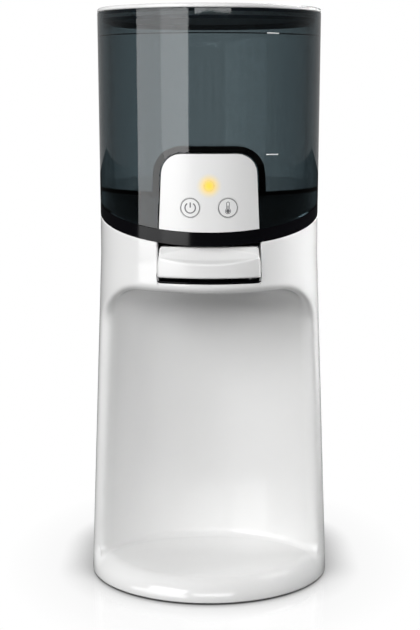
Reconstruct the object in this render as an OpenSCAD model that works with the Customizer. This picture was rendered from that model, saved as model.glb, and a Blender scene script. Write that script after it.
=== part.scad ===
// A free-standing warmer that dispenses water into a bottle. A smoky tank with a lid stands on a
// black dock. The white body under it holds the bottle bay, the lever, the heated vessel and the controls.
// Millimetres, +Z up, the front faces -Y, and the origin lies under the middle of the base.

/* [Body] */
// Width across the base
base_w = 140; // [137:0.5:146]
// Width across the waist, where the body meets the tank
waist_w = 126; // [124:0.5:129]
// Height at which the taper of the body ends
waist_z = 190; // [186:1:194]
// Length of the straight sides between the round front and the round back
straight_l = 44; // [42:1:56]
// Thickness of the white walls
wall = 2.8; // [2.5:0.1:3.1]
// Height of the lower edge of the body above the table
edge_z = 1.2; // [0.8:0.1:1.6]
// Chamfer round the lower edge of the body
edge_chamfer = 1.6; // [1:0.1:2]

/* [Bottle bay] */
// Radius of the round back wall of the bay at its floor
bay_r = 70; // [68:0.5:72]
// Distance from the centre of the round front back to the back wall of the bay
bay_reach = 21; // [18:0.5:22]
// Height of the straight foot of the bay's wall, which lets a flat foot stand anywhere on the floor
bay_foot = 3; // [2.4:0.2:5]
// Lean of the bay's wall towards its top, in degrees
bay_draft = 3.3; // [2.6:0.1:3.8]
// Radius between the wall of the bay and its ceiling
bay_top_r = 22; // [18:0.5:24]
// Height of the floor of the bay
floor_z = 13; // [12.6:0.2:16]
// Radius of the rounded front lip of the floor
lip_r = 11; // [9:0.5:11]
// Height of the white strip between the bay and the lever
lintel_h = 5.5; // [4.6:0.1:6.5]

/* [Seam and dock] */
// Height of the upper edge of the body at its sides and back
seam_z = 215; // [212:0.5:220]
// Slope of the seam down to the front, in degrees
seam_slope = 13; // [11:0.5:14]
// Radius of the bend between the slope and the level stretch
seam_bend_r = 40; // [20:5:60]
// Height of the black band
band_h = 7.3; // [6.5:0.1:8.5]
// Height of the deck above the band
deck_rise = 4.4; // [4:0.1:8]
// Thickness of the deck
deck_t = 4; // [3.6:0.1:4.6]
// Thickness of the upright wall of the dock
dock_wall = 2.5; // [2:0.1:3]

/* [Tank and lid] */
// Width across the rim of the tank
rim_w = 127.4; // [126:0.2:131]
// Height of the tank from its floor to its rim
tank_h = 100; // [80:0.5:120]
// Thickness of the wall of the tank
tank_wall = 2.6; // [2.2:0.1:3]
// Thickness of the floor of the tank
tank_floor_t = 2.5; // [2:0.1:3]
// Thickness of the lid's white cap
lid_t = 3; // [2.6:0.1:5]
// Height of the plug under the lid
plug_h = 5.6; // [5:0.1:8]
// Thickness of the tank round the console
notch_wall = 3.4; // [2.2:0.1:4]
// Gap between the console and the tank
notch_gap = 0.7; // [0.5:0.1:1]

/* [Control panel] */
// Width of the control panel at its foot
panel_w = 54.8; // [53:0.2:57]
// Height of the control panel
panel_h = 42.4; // [41:0.2:46]
// Lean of the sides of the panel, in degrees
panel_lean = 2.5; // [1.5:0.5:3]
// Radius of the upper corners of the panel
panel_corner_r = 11; // [9:0.5:13]
// Thickness of the control panel
panel_t = 2.5; // [2.2:0.1:2.8]
// Depth of the console behind the front
console_depth = 25; // [24:0.5:27]
// Thickness of the console's walls
console_wall = 2; // [1.6:0.1:2.2]
// Radius of a button
button_r = 5.3; // [4.8:0.1:5.6]
// Distance of a button from the middle
button_x = 10.2; // [9.6:0.1:11]
// Height of the buttons above the foot of the panel
button_up = 13.5; // [12.5:0.1:14.5]
// Height of the status light above the foot of the panel
light_up = 25.3; // [24.5:0.1:28]
// Radius of the status light
light_r = 2.6; // [2:0.1:3]

/* [Lever] */
// Width of the lever
lever_w = 56.4; // [54:0.2:57]
// Height of the lever
lever_h = 16.8; // [16:0.1:18]
// How far the lever stands out from the body
lever_proud = 2.5; // [1.5:0.1:3]
// Room above the lever
lever_top_gap = 0.8; // [0.6:0.1:1.2]
// Room under the lever for its travel
lever_drop = 2.3; // [2.2:0.1:3]
// Distance of the lever's pin behind the front
pin_back = 26; // [25:0.5:28]
// Radius of the lever's pin
pin_r = 2; // [1.6:0.1:2.2]

/* [Heated vessel] */
// Radius of the vessel
vessel_r = 23; // [20:0.5:24]
// Height of the vessel's pot
pot_h = 107; // [95:1:110]
// Bore of the water tubes
tube_bore_r = 2.8; // [2.4:0.1:3]
// Outer radius of the water tubes
tube_r = 4; // [3.7:0.1:4.2]
// Thickness of the hoses
hose_t = 1.5; // [1.2:0.1:1.7]

/* [Clearances] */
// Gap between parts that lift or move apart
lift_gap = 0.3; // [0.25:0.05:0.4]
// Gap between fixed parts that fit into each other
fit_gap = 0.2; // [0.1:0.05:0.25]
// Radial gap of a pin or a stem in its hole
pin_gap = 0.06; // [0.03:0.01:0.1]
// Gap round the edge of a lever or a button
edge_gap = 0.4; // [0.3:0.05:0.5]

/* [Hidden] */
$fn = 96;
reach = 400;

// Small screws
screw_r = 1.3;
screw_hole_r = 1.5;
screw_head_r = 2.7;
screw_head_t = 1.6;
screw_bite = 7;
thread_l = 12;
rib_half = 1.5;

// Body and seam
base_r = base_w / 2;
waist_r = waist_w / 2;
rim_r = rim_w / 2;
front_y = -straight_l / 2;
back_y = straight_l / 2;
face_y = front_y - waist_r;
seam_front_z = seam_z - tan(seam_slope) * waist_r;
seam_bend_steps = 4;

// Bay
bay_y = front_y + bay_reach - bay_r;
bay_arc_steps = 8;
lip_outer_r = body_r(floor_z - lip_r);
bay_mouth_x = bay_r - 5;

// Lever and its surround
lever_top_z = seam_front_z - lever_top_gap;
lever_foot_z = lever_top_z - lever_h;
sill_t = 0.9;
well_z = lever_foot_z - lever_drop;
sill_z = well_z - sill_t;
ceiling_z = sill_z - lintel_h;
ceiling_top_z = ceiling_z + wall;
well_x = lever_w / 2 + edge_gap;
bezel_side_t = 2.6;
bezel_rim_depth = 14;
bezel_behind = 8;
pin_drop = 8.6;
hub_wall = 2.8;
hub_in = 6;
bezel_screw_in = 4.5;
pin_y = face_y + pin_back;
pin_z = lever_top_z - pin_drop;
bezel_back_y = pin_y + bezel_behind;
hub_r = pin_r + hub_wall;
hub_half = lever_w / 2 - hub_in;
bezel_screw_x = well_x - bezel_screw_in;
bezel_screw_y = bezel_back_y - bezel_screw_in;

// Dispense valve, from the ceiling of the bay upwards
spout_from_wall = 37;
spout_y = front_y + bay_reach - spout_from_wall;
spout_r = 6.5;
spout_tip_drop = 2.2;
spout_bore_r = tube_bore_r + 0.7;
spout_wall = 1.9;
spout_flange_r = 9;
spout_flange_t = 1.5;
valve_z = ceiling_top_z + spout_flange_t;
valve_r = 11;
valve_floor_t = 2.5;
chamber_r = 8;
chamber_h = 12.2;
valve_top_z = valve_z + valve_floor_t + chamber_h;
valve_cap_t = 3;
cap_spigot = 2;
spring_r = 3.8;
spring_wire_r = 0.4;
spring_gap = 0.1;
valve_port_up = 7.4;
valve_port_z = valve_z + valve_floor_t + valve_port_up;
valve_port_l = 8;
valve_ear = 19;
valve_ear_half = 7;
valve_screw_x = 15;
valve_boss_r = 4;
valve_thread_l = 3.2;
valve_bite = 2.4;
bezel_bite = 2;
tip_gap = 0.4;
stem_r = 2.4;
disc_r = 6;
disc_t = 2.4;
stem_flange_t = 2;
arm_gap = 0.9;
arm_z = valve_top_z + valve_cap_t + arm_gap;
arm_t = 3;
arm_x = 4.6;
arm_w = 4;
pad_r = 1.6;
pad_sink = 0.2;
head_z = arm_z + arm_t + pad_r - pad_sink + lift_gap;
head_r = 9.4;
head_t = 2.4;

// Dock
dock_r = waist_r - tank_wall - lift_gap;
dock_in_r = dock_r - dock_wall;
dock_lip = 4;
deck_z = seam_z + band_h + deck_rise;
deck_under_z = deck_z - deck_t;
dock_head_z = deck_z - screw_head_t - 0.2;
dock_post_r = 4.2;
dock_post_in = 0.6;
dock_screw_rad = dock_in_r - dock_post_r - dock_post_in;
dock_front_angle = 35;
dock_rear_angle = 50;
dock_front_spots = [
  for (a = [-dock_front_angle, dock_front_angle - 180])
    [dock_screw_rad * cos(a), front_y + dock_screw_rad * sin(a)]
];
dock_rear_spots = [
  for (a = [dock_rear_angle, 180 - dock_rear_angle])
    [dock_screw_rad * cos(a), back_y + dock_screw_rad * sin(a)]
];
dock_screw_spots = concat(dock_front_spots, dock_rear_spots);
dock_post_drop = 24;

// Tank and lid
tank_floor_z = deck_z + lift_gap;
tank_floor_top = tank_floor_z + tank_floor_t;
rim_z = tank_floor_z + tank_h;
lid_z = rim_z + lift_gap;
lid_edge = 1;
plug_gap = 0.4;
plug_r = rim_r - tank_wall - plug_gap;
plug_wall = 2.6;
gasket_up = 1.8;
gasket_h = 2;
gasket_depth = 1.2;
gasket_proud = 0.15;

// Console and panel
panel_foot_z = seam_front_z + band_h;
panel_top_z = panel_foot_z + panel_h;
panel_corner_steps = 6;
console_back_y = face_y + console_depth;
board_depth = 11;
board_t = 1.6;
board_up = 6.6;
board_down = 7;
board_in = 5;
board_y = face_y + board_depth;
board_foot_z = panel_foot_z + board_up;
board_top_z = panel_top_z - board_down;
board_half = panel_w / 2 - board_in;
panel_screw_in = 2.6;
panel_screw_up = 3;
panel_screw_down = 6;
panel_screw_x = board_half - panel_screw_in;
panel_screw_z = [board_foot_z + panel_screw_up, board_top_z - panel_screw_down];
panel_screw_spots = [for (x = [-panel_screw_x, panel_screw_x], z = panel_screw_z) [x, z]];
panel_boss_r = 2.4;
panel_bite = 4;
button_z = panel_foot_z + button_up;
light_z = panel_foot_z + light_up;
button_depth = 5.3;
button_flange_y = face_y + button_depth;
button_flange_t = 1;
button_flange_out = 0.8;
button_flange_r = button_r + button_flange_out;
button_travel = 0.6;
switch_half = 3;
switch_h = 3.2;
switch_gap = 0.1;
switch_r = 1.7;
switch_top_y = button_flange_y + button_flange_t + button_travel + switch_gap;
led_half = 1.5;
led_h = 1.5;
led_gap = 1;

// Heated vessel in the rear column, hung from the height of the valve's port
hose_bend = 9;
hose_over = 6;
port_h = 8;
vessel_gasket_t = 1.5;
vessel_cap_t = 3;
vessel_x = -valve_r - valve_port_l - hose_bend;
vessel_behind = 14;
hose_slack = 0.5;
vessel_y = back_y + vessel_behind;
vessel_cap_top_z = valve_port_z - hose_bend - port_h - hose_slack;
vessel_z = vessel_cap_top_z - vessel_cap_t - vessel_gasket_t - pot_h;
shelf_t = 3;
shelf_half = 20;
saddle_half = 9;
pot_wall = 1.5;
vessel_flange_w = 4;
vessel_flange_r = vessel_r + vessel_flange_w;
vessel_flange_t = 2;
vessel_bite = 2;
pot_top_z = vessel_z + pot_h;
vessel_cap_z = pot_top_z + vessel_gasket_t;
port_in_dy = 9;
port_out_dy = -11.5;
vessel_screw_out = 1.8;
vessel_screw_rad = vessel_r + vessel_screw_out;
strap_up = 62;
strap_z = vessel_z + strap_up;
strap_h = 9;
strap_t = 1.2;
cutout_t = 5;
cutout_half = 7;
cutout_down = 17;
cutout_z = strap_z - cutout_down;
element_r = 2.5;
element_x = 12;
element_bend = 8;
element_up = 14;
element_end = 9;
element_low_z = vessel_z + element_up;
element_top_z = vessel_cap_z + vessel_cap_t + element_end;
sensor_r = 2;
sensor_dy = -1.5;
sensor_l = 20;
sensor_head_h = 6;

// Tank valve over the inlet cup
cup_out_dy = 5.6;
tank_valve_y = vessel_y + port_in_dy - cup_out_dy;
spigot_r = 8;
spigot_in_r = 6.2;
spigot_h = 13;
spigot_foot_z = tank_floor_top - spigot_h;
seat_t = 2;
seat_hole_r = 4;
cage_flange_r = 13;
cage_flange_t = 2;
bridge_t = 3;
bridge_half = 2.6;
collar_t = 1;
ring_minor = 0.95;
ring_major = 9;
ring_up = 5;
ring_z = spigot_foot_z + ring_up;
poppet_r = 5.6;
poppet_t = 2;
poppet_lift = 2.9;
poppet_z = spigot_foot_z + seat_t + poppet_lift;
poppet_stem_r = 1.6;
poppet_stub = 1.5;
ring_gap = 0.1;
cup_in_r = ring_major + ring_minor + ring_gap;
cup_t = 2;
cup_room = 6.5;
cup_floor_z = spigot_foot_z - cup_room;
cup_flange_t = 2.2;
cup_bite = 2.4;
cup_tube_l = 9;
post_r = 1.5;
cup_screw_rad = cup_in_r + cup_t + screw_head_r + fit_gap;
cup_flange_out = 0.6;
cup_flange_r = cup_screw_rad + screw_head_r + cup_flange_out;

// Hoses
hose_in_r = tube_r + 0.04;
hose_r = hose_in_r + hose_t;
inlet_run_z = cup_floor_z - cup_t - cup_tube_l - hose_bend;
inlet_path = [
  [0, tank_valve_y + cup_out_dy, cup_floor_z - cup_t - cup_tube_l + hose_over],
  [0, tank_valve_y + cup_out_dy, inlet_run_z],
  [vessel_x, vessel_y + port_in_dy, inlet_run_z],
  [vessel_x, vessel_y + port_in_dy, vessel_cap_z + vessel_cap_t + port_h - hose_over]
];
outlet_path = [
  [-valve_r - valve_port_l + hose_over, spout_y, valve_port_z],
  [vessel_x, spout_y, valve_port_z],
  [vessel_x, vessel_y + port_out_dy, valve_port_z],
  [vessel_x, vessel_y + port_out_dy, vessel_cap_z + vessel_cap_t + port_h - hose_over]
];

// Power board, inlet socket and cables
power_side = 18;
power_x = [8, base_r - power_side];
power_z = [22, 106];
power_front = 8;
power_y = back_y - power_front;
power_t = 1.6;
power_screw_in = 4;
power_screw_spots = [
  for (x = [power_x[0] + power_screw_in, power_x[1] - power_screw_in])
    for (z = [power_z[0] + power_screw_in, power_z[1] - power_screw_in]) [x, z]
];
power_boss_r = 3.2;
power_back_y = power_y + power_t;
socket_z = 24;
socket_half = 10.5;
socket_tall = 7;
socket_face_y = back_y + sqrt(pow(body_r(socket_z + socket_tall), 2) - pow(socket_half, 2)) - 0.4;
socket_l = 21;
socket_flange = 3;
socket_flange_t = 2;
socket_wall_r = body_r(socket_z + socket_tall + socket_flange) - wall;
socket_flange_y = back_y + sqrt(pow(socket_wall_r, 2) - pow(socket_half + socket_flange, 2)) - 0.3;
socket_depth = 12;
slot_r = 4;
contact_x = 4.3;
contact_in = 4;
contact_short = 7;
contact_back_y = socket_face_y - socket_l + contact_in;
contact_r = 1.2;
cable_r = 2;
cable_bend = 6;
plug_block = [8, 5, 6];
panel_cable_x = 12;
panel_cable_under = 0.6;
panel_cable_z = deck_under_z - panel_cable_under - cable_r;
power_plug_down = 13;
power_plug_z = power_z[1] - power_plug_down;
power_plug_w = 8;
power_plug_h = 9;
panel_cable_path = [
  [panel_cable_x, board_y + board_t + plug_block[1], panel_cable_z],
  [panel_cable_x, power_back_y + power_plug_w / 2, panel_cable_z],
  [panel_cable_x, power_back_y + power_plug_w / 2, power_plug_z]
];
mains_x = [6, 20];
mains_behind = 20;
mains_turn_y = back_y + mains_behind;
mains_cable_path = [
  [mains_x[0], socket_face_y - socket_l, socket_z],
  [mains_x[0], mains_turn_y, socket_z],
  [mains_x[1], mains_turn_y, socket_z],
  [mains_x[1], power_back_y, socket_z]
];
heater_in = 22;
heater_down = 16;
heater_x = power_x[0] + heater_in;
heater_z = [power_z[1] - heater_down, element_top_z - element_r];
transformer_x = [18, 36];
transformer_z = [12, 34];
transformer_h = 16;
relay_x = [23, 37];
relay_z = [42, 60];
relay_h = 14;
capacitor_x = 10;
capacitor_z = 28;
capacitor_h = 18;
capacitor_r = 6;
heater_cable_path = [
  [vessel_x + element_x + element_r, vessel_y, heater_z[1]],
  [heater_x, vessel_y, heater_z[1]],
  [heater_x, vessel_y, heater_z[0]],
  [heater_x, power_back_y, heater_z[0]]
];

// Base
base_plate_z = 2.5;
base_plate_t = 3;
base_plate_in = 1.8;
base_plate_r = base_r - wall - base_plate_in;
base_top_z = base_plate_z + base_plate_t;
foot_r = 7;
foot_in = 1.8;
foot_rad = base_plate_r - foot_r - foot_in;
foot_spots = [
  for (sx = [-1, 1], sy = [-1, 1]) [sx * foot_rad * cos(45), sy * (back_y + foot_rad * sin(45))]
];
base_boss_r = 4.4;
base_boss_h = 16;
base_bite = 3.6;
base_rear_rad = base_plate_r - base_boss_r;
base_rear_angle = 20;
base_front_x = 24;
base_front_in = 25.4;
base_front_spots = [for (s = [-1, 1]) [s * base_front_x, front_y - base_plate_r + base_front_in]];
base_rear_spots = [
  for (a = [base_rear_angle, 180 - base_rear_angle])
    [base_rear_rad * cos(a), back_y + base_rear_rad * sin(a)]
];

function body_r(z) = z <= waist_z ? base_r + (waist_r - base_r) * z / waist_z : waist_r;
function body_in_r(z) = base_r - wall + (waist_r - base_r) * (z - edge_z) / (waist_z - edge_z);
function tank_r(z) = waist_r + (rim_r - waist_r) * (z - seam_z) / (rim_z - seam_z);
function bay_rad(z) = bay_r - tan(bay_draft) * max(z - floor_z - bay_foot, 0);
function arc(cx, cy, r, from, to, steps) = [
  for (i = [0:steps]) let (a = from + (to - from) * i / steps) [cx + r * cos(a), cy + r * sin(a)]
];
function mirrored(points) = [for (i = [len(points) - 1:-1:0]) [-points[i][0], points[i][1]]];

// The seam seen from the side, from front to back, raised by a lift
function seam_line(lift) = let (
  half = seam_bend_r * tan(seam_slope / 2),
  bend = [front_y + half, seam_z + lift - seam_bend_r]
) concat(
  [[-reach, seam_z + lift - tan(seam_slope) * (reach + front_y)]],
  arc(bend[0], bend[1], seam_bend_r, 90 + seam_slope, 90, seam_bend_steps),
  [[reach, seam_z + lift]]
);

// The panel's arch seen from the front, grown all round by an amount
function arch(grow) = let (
  r = panel_corner_r + grow,
  half = panel_w / 2 + grow / cos(panel_lean),
  cz = panel_top_z - panel_corner_r,
  cx = half - tan(panel_lean) * (cz - panel_foot_z) - r / cos(panel_lean),
  drop = panel_foot_z - 40,
  right = concat(
    [[half + tan(panel_lean) * (panel_foot_z - drop), drop]],
    arc(cx, cz, r, panel_lean, 90, panel_corner_steps)
  )
) concat(right, mirrored(right));

// Solids from an outline of [radius, height]: round front, straight sides and round back
module round_front(outline) {
  translate([0, front_y, 0]) rotate(180) rotate_extrude(angle = 180) polygon(outline);
}
module round_back(outline) {
  translate([0, back_y, 0]) rotate_extrude(angle = 180) polygon(outline);
}
module straight_sides(outline) {
  translate([0, back_y, 0]) rotate([90, 0, 0]) linear_extrude(straight_l)
    if (outline[0][0] == 0) {
      polygon(concat(outline, mirrored([for (i = [1:len(outline) - 2]) outline[i]])));
    } else {
      polygon(outline);
      mirror([1, 0]) polygon(outline);
    }
}
module stadium(outline) {
  round_front(outline);
  straight_sides(outline);
  round_back(outline);
}
module plate(r, z0, z1) stadium([[0, z0], [r, z0], [r, z1], [0, z1]]);
module ring(r0, r1, z0, z1) stadium([[r0, z0], [r1, z0], [r1, z1], [r0, z1]]);

module side_prism(points) {
  translate([-reach, 0, 0]) rotate([90, 0, 90]) linear_extrude(2 * reach) polygon(points);
}
module below_seam(lift) side_prism(concat(seam_line(lift), [[reach, -reach], [-reach, -reach]]));
module above_seam(lift) side_prism(concat(seam_line(lift), [[reach, reach], [-reach, reach]]));
module arch_prism(grow, back) {
  translate([0, back, 0]) rotate([90, 0, 0]) linear_extrude(reach) polygon(arch(grow));
}
module front_round(r) translate([0, front_y, 0]) cylinder(h = reach, r = r);
module from_front(x, y, z) translate([x, y, z]) rotate([-90, 0, 0]) children();
module block(x, y, z) translate([x[0], y[0], z[0]]) cube([x[1] - x[0], y[1] - y[0], z[1] - z[0]]);

// A run of tube along points whose legs follow the axes, with round bends
module frame(o, x, y, z) {
  multmatrix([
    [x[0], y[0], z[0], o[0]],
    [x[1], y[1], z[1], o[1]],
    [x[2], y[2], z[2], o[2]],
    [0, 0, 0, 1]
  ]) children();
}
function heading(path, i) = (path[i + 1] - path[i]) / norm(path[i + 1] - path[i]);
module tube_run(path, r, bend) {
  last = len(path) - 2;
  for (i = [0:last]) {
    d = heading(path, i);
    side = abs(d[2]) > 0.5 ? [1, 0, 0] : [0, 0, 1];
    start = path[i] + (i > 0 ? bend : 0) * d;
    end = path[i + 1] - (i < last ? bend : 0) * d;
    frame(start, side, cross(d, side), d) cylinder(h = norm(end - start), r = r);
  }
  for (i = [0:last - 1]) {
    d = heading(path, i);
    turn = heading(path, i + 1);
    frame(path[i + 1] + bend * (turn - d), -turn, d, cross(d, turn))
      rotate_extrude(angle = 90) translate([bend, 0]) circle(r);
  }
}

// A closed coil of round wire standing on z = 0
module coil(mean_r, wire_r, height, turns) {
  sides = 6;
  steps = turns * 14;
  points = [
    for (i = [0:steps], j = [0:sides - 1])
      let (
        a = 360 * turns * i / steps,
        b = 360 * j / sides,
        r = mean_r + wire_r * cos(b)
      ) [r * cos(a), r * sin(a), wire_r + (height - 2 * wire_r) * i / steps + wire_r * sin(b)]
  ];
  walls = [
    for (i = [0:steps - 1], j = [0:sides - 1])
      let (k = (j + 1) % sides)
        [i * sides + j, (i + 1) * sides + j, (i + 1) * sides + k, i * sides + k]
  ];
  ends = [[for (j = [0:sides - 1]) j], [for (j = [sides - 1:-1:0]) steps * sides + j]];
  polyhedron(points, concat(walls, ends));
  echo("free gap between turns", (height - 2 * wire_r) / turns - 2 * wire_r);
}

module screw(length) {
  translate([0, 0, -length]) cylinder(h = length, r = screw_r);
  cylinder(h = screw_head_t, r = screw_head_r);
}

// Body shell
body_outline = [
  [base_r - wall, edge_z],
  [base_r - edge_chamfer, edge_z],
  [body_r(edge_z + edge_chamfer), edge_z + edge_chamfer],
  [waist_r, waist_z],
  [waist_r, seam_z],
  [waist_r - wall, seam_z],
  [waist_r - wall, waist_z]
];
body_solid = [
  [0, edge_z],
  [base_r - edge_chamfer, edge_z],
  [body_r(edge_z + edge_chamfer), edge_z + edge_chamfer],
  [waist_r, waist_z],
  [waist_r, seam_z],
  [0, seam_z]
];
module bay(grow) {
  top_z = ceiling_z - bay_top_r;
  top_x = bay_rad(top_z);
  translate([0, bay_y, 0]) rotate_extrude() polygon(concat(
    [[0, floor_z - grow], [bay_r + grow, floor_z - grow], [bay_r + grow, floor_z + bay_foot]],
    arc(top_x - bay_top_r, top_z, bay_top_r + grow, 0, 90, bay_arc_steps),
    [[0, ceiling_z + grow]]
  ));
}
module mouth_sides() block([-bay_mouth_x, bay_mouth_x], [-reach, front_y], [-reach, reach]);
module lip_shell() {
  c = [lip_outer_r - lip_r, floor_z - lip_r];
  intersection() {
    round_front(concat(
      [[lip_outer_r - wall, edge_z], [lip_outer_r, edge_z]],
      arc(c[0], c[1], lip_r, 0, 90, bay_arc_steps),
      arc(c[0], c[1], lip_r - wall, 90, 0, bay_arc_steps)
    ));
    mouth_sides();
  }
}
module vessel_shelf() {
  difference() {
    block(
      [vessel_x - shelf_half, vessel_x + shelf_half],
      [bay_y + bay_rad(vessel_z), vessel_y + shelf_half],
      [vessel_z - shelf_t, vessel_z]
    );
    translate([vessel_x, vessel_y, 0]) cylinder(h = vessel_z + 1, r = vessel_r / 2);
  }
}
module vessel_saddle() {
  difference() {
    block(
      [vessel_x - saddle_half, vessel_x + saddle_half],
      [bay_y + bay_rad(strap_z + strap_h), vessel_y - saddle_half],
      [strap_z, strap_z + strap_h]
    );
    translate([vessel_x, vessel_y, 0]) cylinder(h = reach, r = vessel_r + strap_t + fit_gap);
  }
}
module front_housing() {
  color("white") difference() {
    union() {
      difference() {
        union() {
          round_front(body_outline);
          straight_sides(body_outline);
        }
        block([-bay_mouth_x, bay_mouth_x], [-reach, front_y], [-reach, floor_z + 1]);
      }
      intersection() {
        union() {
          round_front(body_solid);
          straight_sides(body_solid);
        }
        difference() {
          bay(wall);
          difference() {
            block([-bay_mouth_x, bay_mouth_x], [-reach, front_y], [-reach, floor_z + 1]);
            front_round(lip_outer_r - lip_r);
          }
        }
      }
      lip_shell();
      vessel_shelf();
      vessel_saddle();
      for (p = power_screw_spots)
        from_front(p[0], bay_y + bay_r / 2, p[1])
          cylinder(h = power_y - bay_y - bay_r / 2, r = power_boss_r);
      for (p = dock_front_spots)
        translate([p[0], p[1], ceiling_z - bay_top_r / 2])
          cylinder(h = deck_under_z - ceiling_z + bay_top_r / 2, r = dock_post_r);
      for (p = base_front_spots)
        translate([p[0], p[1], base_top_z]) cylinder(h = floor_z - base_top_z - wall / 2, r = base_boss_r);
      for (s = [-1, 1])
        translate([s * valve_screw_x, spout_y, ceiling_z])
          cylinder(h = valve_z - ceiling_z, r = valve_boss_r);
    }
    bay(0);
    difference() {
      above_seam(0);
      plate(dock_in_r, 0, reach);
    }
    intersection() {
      block(
        [-well_x - fit_gap, well_x + fit_gap],
        [-reach, face_y + bezel_rim_depth],
        [sill_z - fit_gap, reach]
      );
      difference() {
        front_round(waist_r + 1);
        front_round(dock_in_r);
      }
    }
    translate([0, spout_y, ceiling_z - bay_top_r]) cylinder(h = reach, r = spout_r + fit_gap);
    for (p = power_screw_spots)
      from_front(p[0], power_y - thread_l, p[1]) cylinder(h = thread_l + 1, r = screw_r);
    for (p = dock_front_spots)
      translate([p[0], p[1], deck_under_z - thread_l]) cylinder(h = thread_l + 1, r = screw_r);
    for (p = base_front_spots)
      translate([p[0], p[1], 0]) cylinder(h = floor_z - wall / 2, r = screw_r);
    for (s = [-1, 1])
      translate([s * valve_screw_x, spout_y, valve_z - valve_thread_l])
        cylinder(h = valve_thread_l + 1, r = screw_r);
    for (s = [-1, 1])
      translate([s * bezel_screw_x, bezel_screw_y, ceiling_top_z - bezel_bite])
        cylinder(h = bezel_bite + 1, r = screw_r);
  }
}
module rear_cover() {
  tongue_in = 3;
  tongue_t = 1.6;
  tongue_z = 12;
  tongue_r = body_in_r(tongue_z) - fit_gap;
  tongue_top_r = body_in_r(waist_z) - fit_gap;
  color("white") difference() {
    union() {
      round_back(body_outline);
      intersection() {
        stadium([
          [tongue_r - tongue_t, tongue_z],
          [tongue_r, tongue_z],
          [tongue_top_r, waist_z],
          [tongue_top_r - tongue_t, waist_z]
        ]);
        block([-reach, reach], [back_y - tongue_in, back_y + tongue_in], [0, reach]);
      }
      intersection() {
        round_back([
          [tongue_r - tongue_t, tongue_z],
          [tongue_r + wall / 2, tongue_z],
          [tongue_top_r + wall / 2, waist_z],
          [tongue_top_r - tongue_t, waist_z]
        ]);
        block([-reach, reach], [back_y, back_y + tongue_in], [0, reach]);
      }
      intersection() {
        round_back(body_solid);
        union() {
          for (p = base_rear_spots)
            translate([p[0], p[1], base_top_z]) cylinder(h = base_boss_h, r = base_boss_r);
          for (a = [base_rear_angle, 180 - base_rear_angle])
            translate([0, back_y, base_top_z]) rotate(a)
              block([base_rear_rad, base_r - wall / 2], [-rib_half, rib_half], [0, base_boss_h]);
          for (a = [dock_rear_angle, 180 - dock_rear_angle])
            translate([0, back_y, seam_z - dock_post_drop]) rotate(a)
              block(
                [dock_screw_rad, waist_r - wall / 2],
                [-rib_half, rib_half],
                [0, dock_post_drop - dock_lip - 1]
              );
        }
      }
      for (p = dock_rear_spots)
        translate([p[0], p[1], seam_z - dock_post_drop])
          cylinder(h = deck_under_z - seam_z + dock_post_drop, r = dock_post_r);
    }
    for (p = base_rear_spots)
      translate([p[0], p[1], 0]) cylinder(h = base_top_z + thread_l, r = screw_r);
    for (p = dock_rear_spots)
      translate([p[0], p[1], deck_under_z - thread_l]) cylinder(h = thread_l + 1, r = screw_r);
    block(
      [-socket_half - fit_gap, socket_half + fit_gap],
      [back_y + base_r / 2, reach],
      [socket_z - socket_tall - fit_gap, socket_z + socket_tall + fit_gap]
    );
  }
}

// Base
module base_plate() {
  color("gainsboro") difference() {
    plate(base_plate_r, base_plate_z, base_top_z);
    for (p = concat(base_front_spots, base_rear_spots)) {
      translate([p[0], p[1], 0]) cylinder(h = reach, r = screw_hole_r);
      translate([p[0], p[1], 0]) cylinder(h = base_plate_z + screw_head_t, r = screw_head_r + fit_gap);
    }
  }
}
module rubber_feet() {
  color("dimgray") for (p = foot_spots)
    translate([p[0], p[1], 0]) cylinder(h = base_plate_z, r = foot_r);
}
module base_screws() {
  color("silver") for (p = concat(base_front_spots, base_rear_spots))
    translate([p[0], p[1], base_plate_z + screw_head_t]) mirror([0, 0, 1])
      screw(base_plate_t - screw_head_t + base_bite);
}

// Dock under the tank
module cup_screw_ring() {
  for (a = [0:2])
    translate([0, tank_valve_y, 0]) rotate(30 + 120 * a) translate([cup_screw_rad, 0, 0]) children();
}
module tank_dock() {
  skirt_z = seam_front_z - 10;
  well_free = 4;
  well_deep = 20;
  shelf_back = 2;
  shelf_t = 3;
  cup_ease = 0.1;
  color("black") difference() {
    union() {
      difference() {
        intersection() {
          ring(dock_in_r, waist_r, skirt_z, deck_z);
          below_seam(band_h);
        }
        below_seam(0);
      }
      difference() {
        ring(dock_in_r, dock_r, skirt_z, deck_z);
        below_seam(-dock_lip);
        difference() {
          block([-well_x - well_free, well_x + well_free], [-reach, face_y + well_deep], [-reach, reach]);
          above_seam(0);
        }
      }
      plate(dock_r, deck_under_z, deck_z);
      intersection() {
        plate(dock_r, skirt_z, deck_z);
        arch_prism(notch_gap, console_back_y + shelf_back);
        below_seam(band_h);
        above_seam(band_h - shelf_t);
      }
    }
    intersection() {
      arch_prism(fit_gap, console_back_y + fit_gap);
      above_seam(band_h);
    }
    translate([0, tank_valve_y, 0]) cylinder(h = reach, r = cup_in_r + cup_ease);
    for (p = dock_screw_spots) {
      translate([p[0], p[1], 0]) cylinder(h = reach, r = screw_hole_r);
      translate([p[0], p[1], dock_head_z]) cylinder(h = reach, r = screw_head_r + fit_gap);
    }
    cup_screw_ring() translate([0, 0, deck_under_z - 1])
      cylinder(h = cup_bite + 1 + cup_ease * 2, r = screw_r);
  }
}
module dock_screws() {
  color("silver") for (p = dock_screw_spots)
    translate([p[0], p[1], dock_head_z]) screw(deck_t + screw_bite);
}
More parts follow.
